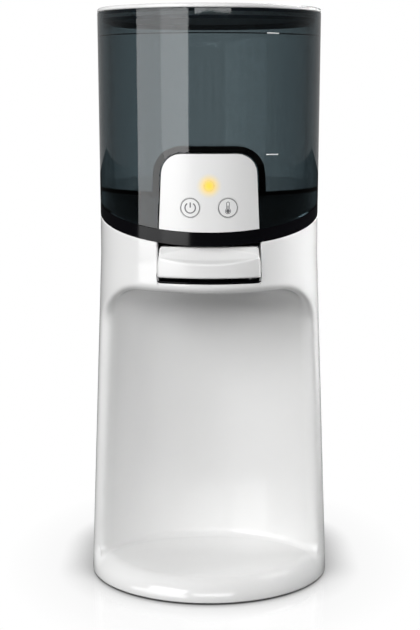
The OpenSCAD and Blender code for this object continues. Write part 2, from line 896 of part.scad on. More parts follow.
module inlet_cup() {
  foot_z = cup_floor_z - cup_t;
  color("dimgray") difference() {
    translate([0, tank_valve_y, 0]) difference() {
      union() {
        translate([0, 0, foot_z]) cylinder(h = deck_under_z - foot_z, r = cup_in_r + cup_t);
        translate([0, 0, deck_under_z - cup_flange_t]) cylinder(h = cup_flange_t, r = cup_flange_r);
        translate([0, cup_out_dy, foot_z - cup_tube_l]) cylinder(h = cup_tube_l + 1, r = tube_r);
      }
      difference() {
        translate([0, 0, cup_floor_z]) cylinder(h = reach, r = cup_in_r);
        cylinder(h = poppet_z - poppet_stub - lift_gap, r = post_r);
      }
      translate([0, cup_out_dy, 0]) cylinder(h = cup_floor_z + 1, r = tube_bore_r);
    }
    cup_screw_ring() cylinder(h = reach, r = screw_hole_r);
  }
}
module cup_screws() {
  color("silver") cup_screw_ring() translate([0, 0, deck_under_z - cup_flange_t])
    mirror([0, 0, 1]) screw(cup_flange_t + cup_bite);
}

// Tank
tank_inner = [
  [0, tank_floor_top],
  [tank_r(tank_floor_top) - tank_wall, tank_floor_top],
  [rim_r - tank_wall, rim_z],
  [rim_r - tank_wall, rim_z + 1],
  [0, rim_z + 1]
];
tank_outer = [
  [0, seam_front_z],
  [tank_r(seam_front_z), seam_front_z],
  [rim_r, rim_z],
  [0, rim_z]
];
module water_tank() {
  color([0.3, 0.35, 0.38, 0.6]) difference() {
    intersection() {
      union() {
        difference() {
          stadium(tank_outer);
          stadium(tank_inner);
        }
        intersection() {
          stadium(tank_outer);
          arch_prism(notch_gap + notch_wall, console_back_y + notch_gap + notch_wall);
        }
      }
      above_seam(band_h + lift_gap);
    }
    arch_prism(notch_gap, console_back_y + notch_gap);
    plate(dock_r + lift_gap, 0, tank_floor_z);
    translate([0, tank_valve_y, 0]) cylinder(h = reach, r = spigot_r + fit_gap);
  }
}
module tank_valve_cage() {
  top = tank_floor_top + cage_flange_t;
  collar_over = 0.3;
  bridge_end = 2;
  color("dimgray") translate([0, tank_valve_y, 0]) difference() {
    union() {
      translate([0, 0, tank_floor_top]) cylinder(h = cage_flange_t, r = cage_flange_r);
      translate([0, 0, spigot_foot_z]) cylinder(h = spigot_h, r = spigot_r);
      for (z = [ring_z - ring_minor - collar_t, ring_z + ring_minor])
        translate([0, 0, z]) cylinder(h = collar_t, r = ring_major + collar_over);
      block(
        [bridge_end - cage_flange_r, cage_flange_r - bridge_end],
        [-bridge_half, bridge_half],
        [top, top + bridge_t]
      );
    }
    translate([0, 0, spigot_foot_z + seat_t]) cylinder(h = top - spigot_foot_z - seat_t, r = spigot_in_r);
    cylinder(h = spigot_foot_z + seat_t + 1, r = seat_hole_r);
    cylinder(h = reach, r = poppet_stem_r + pin_gap);
  }
}
module tank_valve_seal() {
  color("black") translate([0, tank_valve_y, ring_z])
    rotate_extrude() translate([ring_major, 0]) circle(ring_minor);
}
module tank_valve_spring() {
  color("silver") translate([0, tank_valve_y, poppet_z + poppet_t + spring_gap])
    coil(spring_r, spring_wire_r, tank_floor_top + cage_flange_t - poppet_z - poppet_t - 2 * spring_gap, 4);
}
module tank_valve_poppet() {
  color("lightgray") translate([0, tank_valve_y, poppet_z]) {
    cylinder(h = poppet_t, r = poppet_r);
    translate([0, 0, -poppet_stub]) cylinder(h = poppet_stub, r = poppet_stem_r);
    cylinder(h = tank_floor_top + cage_flange_t + bridge_t + 1 - poppet_z, r = poppet_stem_r);
  }
}

// Lid
module lid_cap() {
  color("white") stadium([
    [0, lid_z],
    [rim_r, lid_z],
    [rim_r, lid_z + lid_t - lid_edge],
    [rim_r - lid_edge, lid_z + lid_t],
    [0, lid_z + lid_t]
  ]);
}
module lid_plug() {
  groove = lid_z - plug_h + gasket_up;
  color([0.1, 0.12, 0.17]) stadium([
    [0, lid_z - plug_wall],
    [plug_r - 2 * plug_wall, lid_z - plug_wall],
    [plug_r - 2 * plug_wall, lid_z - plug_h],
    [plug_r, lid_z - plug_h],
    [plug_r, groove],
    [plug_r - gasket_depth, groove],
    [plug_r - gasket_depth, groove + gasket_h],
    [plug_r, groove + gasket_h],
    [plug_r, lid_z],
    [0, lid_z]
  ]);
}
module lid_gasket() {
  groove = lid_z - plug_h + gasket_up;
  color("gray") ring(plug_r - gasket_depth, plug_r + gasket_proud, groove, groove + gasket_h);
}

// Console and panel
module console_housing() {
  cable_hole_r = cable_r + 1;
  cable_way = 10;
  color("black") difference() {
    intersection() {
      arch_prism(0, console_back_y);
      front_round(waist_r - panel_t);
      above_seam(band_h);
    }
    intersection() {
      arch_prism(-console_wall, console_back_y - console_wall);
      above_seam(band_h + console_wall);
    }
    from_front(panel_cable_x, console_back_y - cable_way / 2, panel_cable_z)
      cylinder(h = cable_way, r = cable_hole_r);
  }
}
module control_panel() {
  color("white") difference() {
    union() {
      intersection() {
        arch_prism(0, front_y);
        difference() {
          front_round(waist_r);
          front_round(waist_r - panel_t);
        }
        above_seam(band_h + fit_gap);
      }
      intersection() {
        front_round(waist_r - 1);
        for (p = panel_screw_spots)
          from_front(p[0], -reach, p[1]) cylinder(h = board_y + reach, r = panel_boss_r);
      }
    }
    for (s = [-1, 1])
      from_front(s * button_x, -reach, button_z) cylinder(h = reach, r = button_r + fit_gap);
    from_front(0, -reach, light_z) cylinder(h = reach, r = light_r + fit_gap / 2);
    for (p = panel_screw_spots)
      from_front(p[0], board_y - panel_bite - 0.5, p[1]) cylinder(h = panel_bite + 1, r = screw_r);
  }
}
module button(x) {
  intersection() {
    front_round(waist_r);
    from_front(x, -reach, button_z) cylinder(h = button_flange_y + reach + 0.5, r = button_r);
  }
  from_front(x, button_flange_y, button_z) cylinder(h = button_flange_t, r = button_flange_r);
}
module power_button() {
  color("white") button(-button_x);
}
module temperature_button() {
  color("white") button(button_x);
}
module status_lens() {
  color("gold") intersection() {
    front_round(waist_r);
    from_front(0, -reach, light_z) cylinder(h = board_y - led_h - led_gap + reach, r = light_r);
  }
}
module status_led() {
  color("khaki") translate([0, 0, light_z])
    block([-led_half, led_half], [board_y - led_h, board_y], [-led_half, led_half]);
}
module control_board() {
  color("darkgreen") difference() {
    union() {
      block([-board_half, board_half], [board_y, board_y + board_t], [board_foot_z, board_top_z]);
      translate([panel_cable_x - plug_block[0] / 2, board_y + board_t, panel_cable_z - plug_block[2] / 2])
        cube([plug_block[0], plug_block[1], plug_block[2]]);
    }
    for (p = panel_screw_spots)
      from_front(p[0], board_y - 1, p[1]) cylinder(h = board_t + 2, r = screw_hole_r);
  }
}
module push_switches() {
  color("dimgray") for (s = [-1, 1]) {
    translate([s * button_x, 0, button_z])
      block([-switch_half, switch_half], [board_y - switch_h, board_y], [-switch_half, switch_half]);
    from_front(s * button_x, switch_top_y, button_z) cylinder(h = board_y - switch_top_y, r = switch_r);
  }
}
module panel_screws() {
  color("silver") for (p = panel_screw_spots)
    from_front(p[0], board_y + board_t, p[1]) screw(board_t + panel_bite);
}

// Lever and its surround
module lever_bezel() {
  behind = dock_in_r + 1.2;
  color("black") difference() {
    intersection() {
      union() {
        intersection() {
          block([-well_x, well_x], [-reach, face_y + bezel_rim_depth], [sill_z, well_z]);
          front_round(waist_r);
        }
        intersection() {
          difference() {
            block(
              [-well_x - bezel_side_t, well_x + bezel_side_t],
              [-reach, bezel_back_y],
              [ceiling_top_z, reach]
            );
            block([-well_x, well_x], [-reach, reach], [well_z, reach]);
          }
          front_round(behind);
        }
      }
      below_seam(-fit_gap);
    }
    translate([-reach, pin_y, pin_z]) rotate([0, 90, 0]) cylinder(h = 2 * reach, r = pin_r + pin_gap);
    for (s = [-1, 1])
      translate([s * bezel_screw_x, bezel_screw_y, 0]) cylinder(h = reach, r = screw_hole_r);
  }
}
module bezel_screws() {
  color("silver") for (s = [-1, 1])
    translate([s * bezel_screw_x, bezel_screw_y, well_z])
      screw(well_z - ceiling_top_z + bezel_bite - tip_gap);
}
module dispense_lever() {
  side = lever_w / 2;
  top_inset = 1.2;
  corner = 1.8;
  back = face_y + 10;
  recess_y = face_y + 4.8;
  ledge_z = lever_top_z - 5.2;
  ledge_slope = 0.5;
  nose_y = face_y - 12;
  web_half = hub_half - 2;
  web_t = 6;
  shoulder = 9;
  arm_root = 2;
  arm_tip = 3;
  arm_bend = 1.6;
  right = concat(
    [[side, lever_foot_z], [side, lever_top_z - shoulder]],
    arc(side - top_inset - corner, lever_top_z - corner, corner, 8, 90, 5)
  );
  color("white") difference() {
    union() {
      intersection() {
        translate([0, back, 0]) rotate([90, 0, 0]) linear_extrude(reach)
          polygon(concat(right, mirrored(right)));
        side_prism([
          [back, lever_foot_z],
          [nose_y, lever_foot_z],
          [nose_y, ledge_z - ledge_slope * (recess_y - nose_y)],
          [recess_y, ledge_z],
          [recess_y, lever_top_z],
          [back, lever_top_z]
        ]);
        front_round(waist_r + lever_proud);
      }
      block([-web_half, web_half], [back - 1, pin_y], [pin_z - web_t / 2, pin_z + web_t / 2]);
      translate([-hub_half, pin_y, pin_z]) rotate([0, 90, 0]) cylinder(h = 2 * hub_half, r = hub_r);
      for (s = [-1, 1])
        translate([s * (arm_x + arm_w / 2) - arm_w / 2, 0, 0]) {
          rotate([90, 0, 90]) linear_extrude(arm_w) polygon([
            [pin_y - arm_root, pin_z],
            [pin_y + arm_tip, pin_z],
            [spout_y - valve_r - arm_bend, arm_z],
            [spout_y + arm_tip, arm_z],
            [spout_y + arm_tip, arm_z + arm_t],
            [spout_y - valve_r - arm_tip, arm_z + arm_t]
          ]);
          translate([0, spout_y, arm_z + arm_t - pad_sink]) rotate([0, 90, 0])
            cylinder(h = arm_w, r = pad_r);
        }
    }
    translate([-reach, pin_y, pin_z]) rotate([0, 90, 0]) cylinder(h = 2 * reach, r = pin_r + pin_gap);
  }
}
module lever_pin() {
  half = well_x + bezel_side_t;
  color("silver") translate([-half, pin_y, pin_z]) rotate([0, 90, 0]) cylinder(h = 2 * half, r = pin_r);
}

// Dispense valve
module valve_body() {
  color("gainsboro") translate([0, spout_y, 0]) difference() {
    union() {
      translate([0, 0, valve_z]) cylinder(h = valve_top_z - valve_z, r = valve_r);
      block([-valve_ear, valve_ear], [-valve_ear_half, valve_ear_half], [valve_z, valve_z + valve_floor_t]);
      translate([0, 0, valve_port_z]) rotate([0, -90, 0]) cylinder(h = valve_r + valve_port_l, r = tube_r);
    }
    translate([0, 0, valve_z + valve_floor_t]) cylinder(h = reach, r = chamber_r);
    cylinder(h = reach, r = spout_bore_r);
    translate([0, 0, valve_port_z]) rotate([0, -90, 0]) cylinder(h = reach, r = tube_bore_r);
    for (s = [-1, 1])
      translate([s * valve_screw_x, 0, 0]) cylinder(h = reach, r = screw_hole_r);
  }
}
module valve_cap() {
  color("dimgray") translate([0, spout_y, valve_top_z]) difference() {
    union() {
      cylinder(h = valve_cap_t, r = valve_r);
      translate([0, 0, -cap_spigot]) cylinder(h = cap_spigot, r = chamber_r - fit_gap / 2);
    }
    translate([0, 0, -cap_spigot - 1]) cylinder(h = reach, r = stem_r + pin_gap);
  }
}
module valve_stem() {
  flange_inset = 0.6;
  color("lightgray") translate([0, spout_y, 0]) {
    translate([0, 0, valve_z + valve_floor_t + disc_t + lift_gap]) {
      cylinder(h = stem_flange_t, r = disc_r - flange_inset);
      cylinder(h = head_z - valve_z - valve_floor_t - disc_t - lift_gap + 1, r = stem_r);
    }
    translate([0, 0, head_z]) cylinder(h = head_t, r = head_r);
  }
}
module valve_disc() {
  color("darkgray") translate([0, spout_y, valve_z + valve_floor_t + lift_gap])
    cylinder(h = disc_t, r = disc_r);
}
module valve_spring() {
  foot = valve_z + valve_floor_t + lift_gap + disc_t + stem_flange_t;
  color("silver") translate([0, spout_y, foot + spring_gap])
    coil(spring_r, spring_wire_r, valve_top_z - cap_spigot - foot - 2 * spring_gap, 3);
}
module valve_screws() {
  color("silver") for (s = [-1, 1])
    translate([s * valve_screw_x, spout_y, valve_z + valve_floor_t]) screw(valve_floor_t + valve_bite);
}
module spout_nozzle() {
  color("gainsboro") translate([0, spout_y, 0]) difference() {
    union() {
      translate([0, 0, ceiling_z - spout_tip_drop])
        cylinder(h = valve_z - ceiling_z + spout_tip_drop, r = spout_r);
      translate([0, 0, ceiling_top_z]) cylinder(h = spout_flange_t, r = spout_flange_r);
    }
    cylinder(h = reach, r = spout_r - spout_wall);
  }
}

// Heated vessel
module vessel_screw_ring() {
  for (a = [0:3])
    translate([vessel_x, vessel_y, 0]) rotate(45 + 90 * a) translate([vessel_screw_rad, 0, 0]) children();
}
module vessel_pot() {
  color("silver") difference() {
    translate([vessel_x, vessel_y, 0]) difference() {
      union() {
        translate([0, 0, vessel_z]) cylinder(h = pot_h, r = vessel_r);
        translate([0, 0, pot_top_z - vessel_flange_t]) cylinder(h = vessel_flange_t, r = vessel_flange_r);
      }
      translate([0, 0, vessel_z + pot_wall]) cylinder(h = pot_h, r = vessel_r - pot_wall);
    }
    vessel_screw_ring() cylinder(h = reach, r = screw_hole_r);
  }
}
module vessel_gasket() {
  color("darkgray") difference() {
    translate([vessel_x, vessel_y, pot_top_z]) difference() {
      cylinder(h = vessel_gasket_t, r = vessel_flange_r);
      translate([0, 0, -1]) cylinder(h = vessel_gasket_t + 2, r = vessel_r - pot_wall);
    }
    vessel_screw_ring() cylinder(h = reach, r = screw_hole_r);
  }
}
module vessel_cap() {
  color("gainsboro") difference() {
    translate([vessel_x, vessel_y, 0]) difference() {
      union() {
        translate([0, 0, vessel_cap_z]) cylinder(h = vessel_cap_t, r = vessel_flange_r);
        for (dy = [port_in_dy, port_out_dy])
          translate([0, dy, vessel_cap_z]) cylinder(h = vessel_cap_t + port_h, r = tube_r);
        translate([0, port_in_dy, element_low_z])
          cylinder(h = vessel_cap_z - element_low_z, r = tube_r - 0.4);
      }
      for (dy = [port_in_dy, port_out_dy])
        translate([0, dy, 0]) cylinder(h = reach, r = tube_bore_r);
      translate([0, sensor_dy, 0]) cylinder(h = reach, r = sensor_r + pin_gap);
      for (s = [-1, 1])
        translate([s * element_x, 0, 0]) cylinder(h = reach, r = element_r + pin_gap);
    }
    vessel_screw_ring() cylinder(h = reach, r = screw_hole_r);
  }
}
module vessel_screws() {
  color("silver") vessel_screw_ring()
    translate([0, 0, vessel_cap_z + vessel_cap_t])
      screw(vessel_cap_t + vessel_gasket_t + vessel_flange_t + vessel_bite);
}
module vessel_strap() {
  color("silver") translate([vessel_x, vessel_y, strap_z]) difference() {
    cylinder(h = strap_h, r = vessel_r + fit_gap / 4 + strap_t);
    translate([0, 0, -1]) cylinder(h = strap_h + 2, r = vessel_r + fit_gap / 4);
  }
}
module heating_element() {
  color("gray") tube_run([
    [vessel_x - element_x, vessel_y, element_top_z],
    [vessel_x - element_x, vessel_y, element_low_z],
    [vessel_x + element_x, vessel_y, element_low_z],
    [vessel_x + element_x, vessel_y, element_top_z]
  ], element_r, element_bend);
}
module temperature_sensor() {
  color("silver") translate([vessel_x, vessel_y + sensor_dy, 0]) {
    translate([0, 0, vessel_cap_z - sensor_l]) cylinder(h = sensor_l + vessel_cap_t, r = sensor_r);
    translate([0, 0, vessel_cap_z + vessel_cap_t]) cylinder(h = sensor_head_h, r = sensor_r + 1, $fn = 6);
  }
}
module thermal_cutout() {
  color("dimgray") difference() {
    block(
      [vessel_x + vessel_r - cutout_half / 2, vessel_x + vessel_r + cutout_t],
      [vessel_y - cutout_half, vessel_y + cutout_half],
      [cutout_z - cutout_half, cutout_z + cutout_half]
    );
    translate([vessel_x, vessel_y, 0]) cylinder(h = reach, r = vessel_r);
  }
}

// Hoses
module inlet_hose() {
  color("whitesmoke") difference() {
    tube_run(inlet_path, hose_r, hose_bend);
    tube_run(inlet_path, hose_in_r, hose_bend);
  }
}
module outlet_hose() {
  color("whitesmoke") difference() {
    tube_run(outlet_path, hose_r, hose_bend);
    tube_run(outlet_path, hose_in_r, hose_bend);
  }
}

// Power board, inlet socket and cables
module power_board() {
  color("darkgreen") difference() {
    union() {
      block(power_x, [power_y, power_back_y], power_z);
      block(
        [panel_cable_x - power_plug_w / 2, panel_cable_x + power_plug_w / 2],
        [power_back_y, power_back_y + power_plug_w],
        [power_plug_z - power_plug_h, power_plug_z]
      );
    }
    for (p = power_screw_spots)
      from_front(p[0], power_y - 1, p[1]) cylinder(h = power_t + 2, r = screw_hole_r);
  }
}
module on_power_board(x, h, z) translate([power_x[0], power_back_y, power_z[0]]) block(x, [0, h], z);
module transformer() {
  color("gold") on_power_board(transformer_x, transformer_h, transformer_z);
}
module capacitor() {
  color("midnightblue") from_front(power_x[0] + capacitor_x, power_back_y, power_z[0] + capacitor_z)
    cylinder(h = capacitor_h, r = capacitor_r);
}
module relay() {
  color("black") on_power_board(relay_x, relay_h, relay_z);
}
module board_screws() {
  color("silver") for (p = power_screw_spots)
    from_front(p[0], power_back_y, p[1]) screw(power_t + screw_bite);
}
module socket_slot(grow, y0, y1) {
  for (s = [-1, 1])
    from_front(s * contact_x, y0, socket_z) cylinder(h = y1 - y0, r = slot_r + grow);
  block([-contact_x, contact_x], [y0, y1], [socket_z - slot_r - grow + 1, socket_z + slot_r + grow - 1]);
}
module power_inlet() {
  back = socket_face_y - socket_l;
  color("black") difference() {
    union() {
      block(
        [-socket_half, socket_half],
        [back, socket_face_y],
        [socket_z - socket_tall, socket_z + socket_tall]
      );
      block(
        [-socket_half - socket_flange, socket_half + socket_flange],
        [socket_flange_y - socket_flange_t, socket_flange_y],
        [socket_z - socket_tall - socket_flange, socket_z + socket_tall + socket_flange]
      );
    }
    socket_slot(0, socket_face_y - socket_depth, reach);
    for (s = [-1, 1])
      from_front(s * contact_x, contact_back_y, socket_z) cylinder(h = reach, r = contact_r);
  }
}
module inlet_contacts() {
  color("silver") for (s = [-1, 1])
    from_front(s * contact_x, contact_back_y, socket_z)
      cylinder(h = socket_l - contact_short, r = contact_r);
}
module panel_cable() {
  color("dimgray") tube_run(panel_cable_path, cable_r, cable_bend);
}
module mains_cable() {
  color("dimgray") tube_run(mains_cable_path, cable_r, cable_bend);
}
module heater_cable() {
  color("firebrick") tube_run(heater_cable_path, cable_r - 0.4, cable_bend);
}

front_housing();
rear_cover();
base_plate();
rubber_feet();
base_screws();
tank_dock();
dock_screws();
inlet_cup();
cup_screws();
water_tank();
tank_valve_cage();
tank_valve_seal();
tank_valve_spring();
tank_valve_poppet();
lid_cap();
lid_plug();
lid_gasket();
console_housing();
control_panel();
power_button();
temperature_button();
status_lens();
status_led();
control_board();
push_switches();
panel_screws();
lever_bezel();
bezel_screws();
dispense_lever();
lever_pin();
valve_body();
valve_cap();
valve_stem();
valve_disc();
valve_spring();
valve_screws();
spout_nozzle();
vessel_pot();
vessel_cap();
vessel_gasket();
vessel_screws();
vessel_strap();
heating_element();
temperature_sensor();
thermal_cutout();
inlet_hose();
outlet_hose();
power_board();
transformer();
capacitor();
relay();
board_screws();
power_inlet();
inlet_contacts();
panel_cable();
mains_cable();
heater_cable();
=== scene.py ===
"""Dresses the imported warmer: a soft-edged white body with a bottle bay, a smoky tank, a black dock
and a thumb lever, on a pale studio floor. Metres, +Z up, the front faces -Y, and the origin lies
under the middle of the base."""

import math

import bmesh
import bpy
import numpy as np
from bpy.props import FloatProperty, FloatVectorProperty, PointerProperty
from bpy.types import Operator, Panel, PropertyGroup
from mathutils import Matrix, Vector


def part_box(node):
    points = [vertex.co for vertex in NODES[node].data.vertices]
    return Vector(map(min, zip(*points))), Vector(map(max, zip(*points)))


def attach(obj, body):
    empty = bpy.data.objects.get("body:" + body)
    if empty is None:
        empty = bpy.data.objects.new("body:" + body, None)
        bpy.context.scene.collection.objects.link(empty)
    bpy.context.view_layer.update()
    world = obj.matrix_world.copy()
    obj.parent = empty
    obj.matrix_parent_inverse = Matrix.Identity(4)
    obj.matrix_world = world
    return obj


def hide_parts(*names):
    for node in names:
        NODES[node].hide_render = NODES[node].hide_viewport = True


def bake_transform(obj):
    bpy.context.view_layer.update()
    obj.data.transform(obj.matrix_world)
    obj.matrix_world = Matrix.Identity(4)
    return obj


bl_info = {
    "name": "Bottle water warmer",
    "version": (1, 0, 0),
    "blender": (4, 5, 0),
    "location": "View3D > Sidebar > Warmer",
    "description": "Builds the visible pieces, the finishes and the studio round the packed warmer",
    "category": "Object",
}

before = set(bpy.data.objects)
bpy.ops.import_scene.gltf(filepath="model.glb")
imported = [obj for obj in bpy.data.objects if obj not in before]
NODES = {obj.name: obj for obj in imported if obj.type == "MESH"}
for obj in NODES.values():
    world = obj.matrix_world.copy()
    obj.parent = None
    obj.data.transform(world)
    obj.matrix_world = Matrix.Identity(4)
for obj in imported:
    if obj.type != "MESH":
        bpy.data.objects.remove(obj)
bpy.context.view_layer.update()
MM = 0.001
FILM = 0.03 * MM  # thickness of printed ink, and how far its middle stands off the surface
WHITE = (1, 1, 1, 1)


def low(node):
    """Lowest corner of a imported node."""
    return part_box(node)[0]


def high(node):
    """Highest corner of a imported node."""
    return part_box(node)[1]


def length(name, mm, description, base=0.0):
    """A length property, given in millimetres past a base in metres."""
    return FloatProperty(
        name=name, default=base + mm * MM, description=description, unit="LENGTH", precision=5)


def angle(name, degrees, description):
    """An angle property, given in degrees."""
    return FloatProperty(
        name=name, default=math.radians(degrees), description=description, subtype="ANGLE")


def number(name, default, description):
    """A plain number."""
    return FloatProperty(name=name, default=default, description=description)


def colour(name, default, description):
    """A colour property with red, green and blue."""
    return FloatVectorProperty(
        name=name, default=default, description=description, subtype="COLOR", size=3, min=0, max=1)


class WarmerBody(PropertyGroup):
    """Sizes of the white body and its bay."""

    base_r: length("Base radius", 70, "Radius of the round front at the table")
    waist_r: length("Waist radius", 0, "Radius of the front above the taper", high("tank_dock")[0])
    waist_z: length("Waist height", 190, "Height at which the taper ends")
    round_y: length("Front centre", -22, "Place of the round front's centre")
    split_y: length("Split", 22, "Place of the joint between front housing and rear cover")
    edge_z: length("Lower edge", 1.2, "Height of the lower edge above the table")
    seam_z: length("Seam height", 215, "Height of the upper edge at the sides")
    seam_slope: angle("Seam slope", 13, "Fall of the seam to the front")
    seam_bend: length("Seam bend", 40, "Radius between the slope and the level stretch")
    bay_r: length("Bay radius", 70, "Radius of the bay at its floor")
    bay_y: length("Bay centre", -71, "Place of the bay's upright axis")
    bay_foot: length("Bay foot", 3, "Height of the straight foot of the bay's wall")
    bay_draft: angle("Bay draft", 3.3, "Lean of the bay's wall")
    floor_z: length("Bay floor", 13, "Height of the floor of the bay")
    ceiling_z: length("Bay ceiling", 2.2, "Height of the bay's ceiling", low("spout_nozzle")[2])
    ceiling_round: length("Ceiling round", 22, "Radius between the bay's wall and its ceiling")
    floor_round: length("Floor round", 3, "Radius between the bay's wall and its floor")
    rim_round: length("Rim round", 10, "Rounding of the bay's upright edges")
    lintel_round: length("Lintel round", 4.6, "Rounding of the bay's upper edge")
    lip_round: length("Lip round", 11, "Rounding of the front lip of the floor")
    wall: length("Wall", 2.2, "Thickness of the white shell")
    well_x: length("Well", 0.6, "Half width of the lever's opening", high("dispense_lever")[0])
    well_z: length("Well foot", 179.45, "Lower edge of the lever's opening")
    well_round: length("Well round", 2.2, "Radius of the lower corners of the lever's opening")


class WarmerFittings(PropertyGroup):
    """Sizes of the lever, the springs, the lid, the printed signs and the marks."""

    lever_round: length("Lever edges", 1.1, "Rounding of the lever's edges")
    lever_recess: length("Lever recess", 4.8, "Depth of the flat face above the thumb ledge")
    lever_ledge: length("Lever ledge", 5.2, "Height of the flat face above the thumb ledge")
    lever_back: length("Lever thickness", 10, "Depth of the lever's pad behind the body's front")
    lever_proud: length("Lever overhang", 2.5, "How far the lever stands out from the body")
    lever_inset: length("Lever inset", 1.2, "How much the lever draws in to its upper corners")
    lever_corner: length("Lever corners", 1.8, "Radius of the lever's upper corners")
    hub_r: length("Hub radius", 4.8, "Radius of the lever's hub round its pin")
    hub_in: length("Hub inset", 6, "How much shorter the hub is than the lever at each end")
    arm_x: length("Arm place", 4.6, "Place of the inner side of each arm")
    arm_w: length("Arm width", 4, "Width of each arm that lifts the valve's stem")
    arm_t: length("Arm thickness", 3, "Thickness of each arm")
    arm_pad: length("Arm pad", 1.6, "Radius of the round pad at the end of each arm")
    spring_wire: length("Spring wire", 0.4, "Radius of the wire of the two valves' springs")
    lid_edge: length("Lid edge", 1.4, "Rounding of the lid's upper edge")
    lid_crown: length("Lid crown", 0.7, "How much the lid falls from its middle to its edge")
    sign_line: length("Sign line", 0.42, "Width of the lines of the printed signs")
    ring_r: length("Ring radius", 5.0, "Radius of the printed ring on a button")
    mark_x: length("Mark place", 31, "Where the level marks on the tank begin")
    mark_l: length("Mark length", 6.6, "Length of a level mark")
    mark_h: length("Mark height", 0.7, "Height of a level mark")
    max_z: length("Upper level", 314.1, "Height of the upper level mark")
    min_z: length("Lower level", 249.5, "Height of the lower level mark")


class WarmerFinish(PropertyGroup):
    """Colours of the finishes."""

    white: colour("White", (0.8, 0.8, 0.797), "Moulded white of the body")
    black: colour("Black", (0.003, 0.003, 0.004), "Moulded black of the dock")
    smoke: colour("Smoke", (0.2, 0.29, 0.32), "Colour that the smoky wall lets through")
    smoke_density: number("Smoke density", 640.0, "Density of the smoky wall")
    glow: colour("Glow", (1.0, 0.6, 0.02), "Colour of the status light")
    print_grey: colour("Print", (0.12, 0.12, 0.13), "Colour of the printed signs")


class WarmerStage(PropertyGroup):
    """Place and lens of the camera."""

    camera_y: length("Camera distance", -863, "Place of the camera in front of the object")
    camera_z: length("Camera height", 285, "Height of the camera")
    camera_x: length("Camera side", 0.5, "Place of the camera to the side")
    camera_pitch: angle("Camera pitch", 81.08, "Tilt of the camera")
    camera_lens: number("Lens", 82.57, "Focal length in millimetres on a 36 mm sensor")


# Shapes as whole arrays


def stack(*parts):
    """Arrays stacked along a new last axis."""
    return np.stack(parts, axis=-1)


def join(*parts):
    """Arrays joined end to end."""
    return np.concatenate(parts)


def rounded_max(a, b, r):
    """The inside of both a and b, given as distances below zero inside, with a round of radius r
    between them: the larger distance, and near the edge the length of (a + r, b + r) less r."""
    return np.minimum(np.maximum(a, b), -r) + np.hypot(np.maximum(a + r, 0), np.maximum(b + r, 0))


def slope_of(field, points, step=2e-6):
    """Gradient of a field by central differences."""
    return stack(*((field(points + d) - field(points - d)) / (2 * step) for d in np.eye(3) * step))


def slide_onto(points, field, level=0.0, rounds=24, longest=3 * MM):
    """Newton's method on all points at once: each slides along the field's gradient until the field
    is level, by no more than the longest step in a round."""
    for _ in range(rounds):
        g = slope_of(field, points)
        size = np.maximum((g * g).sum(-1), 1e-6)
        move = -((field(points) - level) / size)[..., None] * g
        far = np.linalg.norm(move, axis=-1, keepdims=True)
        points = points + move * np.minimum(1.0, longest / np.maximum(far, 1e-12))
    return points


def smoothstep(x, lo, hi):
    """0 below lo, 1 above hi and a cubic between."""
    t = np.clip((x - lo) / (hi - lo), 0, 1)
    return t * t * (3 - 2 * t)


def arc_points(centre, radius, start, end, steps):
    """Points of an arc, angles in degrees."""
    a = np.radians(np.linspace(start, end, steps))
    return stack(centre[0] + radius * np.cos(a), centre[1] + radius * np.sin(a))


def grid_faces(rows, columns, closed_rows=False, closed_columns=False, start=0):
    """Quads of a grid of rows by columns, numbered row by row from start."""
    i = np.arange(rows if closed_rows else rows - 1)
    j = np.arange(columns if closed_columns else columns - 1)
    a, b = np.meshgrid(i, j, indexing="ij")
    c, d = (a + 1) % rows, (b + 1) % columns
    corners = [a * columns + b, a * columns + d, c * columns + d, c * columns + b]
    return stack(*corners).reshape(-1, 4) + start


def outward(points, quads):
    """The quads turned so that the closed surface has a volume above zero."""
    a, b, c, d = (points[quads[:, k]] for k in range(4))
    volume = (a * np.cross(b - a, c - a)).sum() + (a * np.cross(c - a, d - a)).sum()
    return quads if volume > 0 else quads[:, ::-1]


def weld(data, within=1e-6):
    """Merges points that fall together, drops faces with no area left and turns shells outward."""
    shell = bmesh.new()
    shell.from_mesh(data)
    bmesh.ops.remove_doubles(shell, verts=shell.verts, dist=within)
    bmesh.ops.dissolve_degenerate(shell, dist=within, edges=shell.edges)
    bmesh.ops.recalc_face_normals(shell, faces=shell.faces)
    shell.to_mesh(data)
    shell.free()


def mesh_piece(name, points, quads, smooth=True, welded=False):
    """A new object from arrays of points and quads; smooth is one flag or a flag for each quad."""
    data = bpy.data.meshes.new(name)
    data.from_pydata(points.reshape(-1, 3).tolist(), [], quads.tolist())
    data.polygons.foreach_set("use_smooth", np.broadcast_to(smooth, len(data.polygons)).copy())
    if welded:
        weld(data)
    data.validate()
    data.update()
    piece = bpy.data.objects.new(name, data)
    bpy.context.scene.collection.objects.link(piece)
    return piece


def seat(piece, body, slot, *nodes):
    """Puts a piece on its body and hides the nodes that it stands for; slot is not used."""
    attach(piece, body)
    if nodes:
        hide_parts(*nodes)
    return piece


# White body


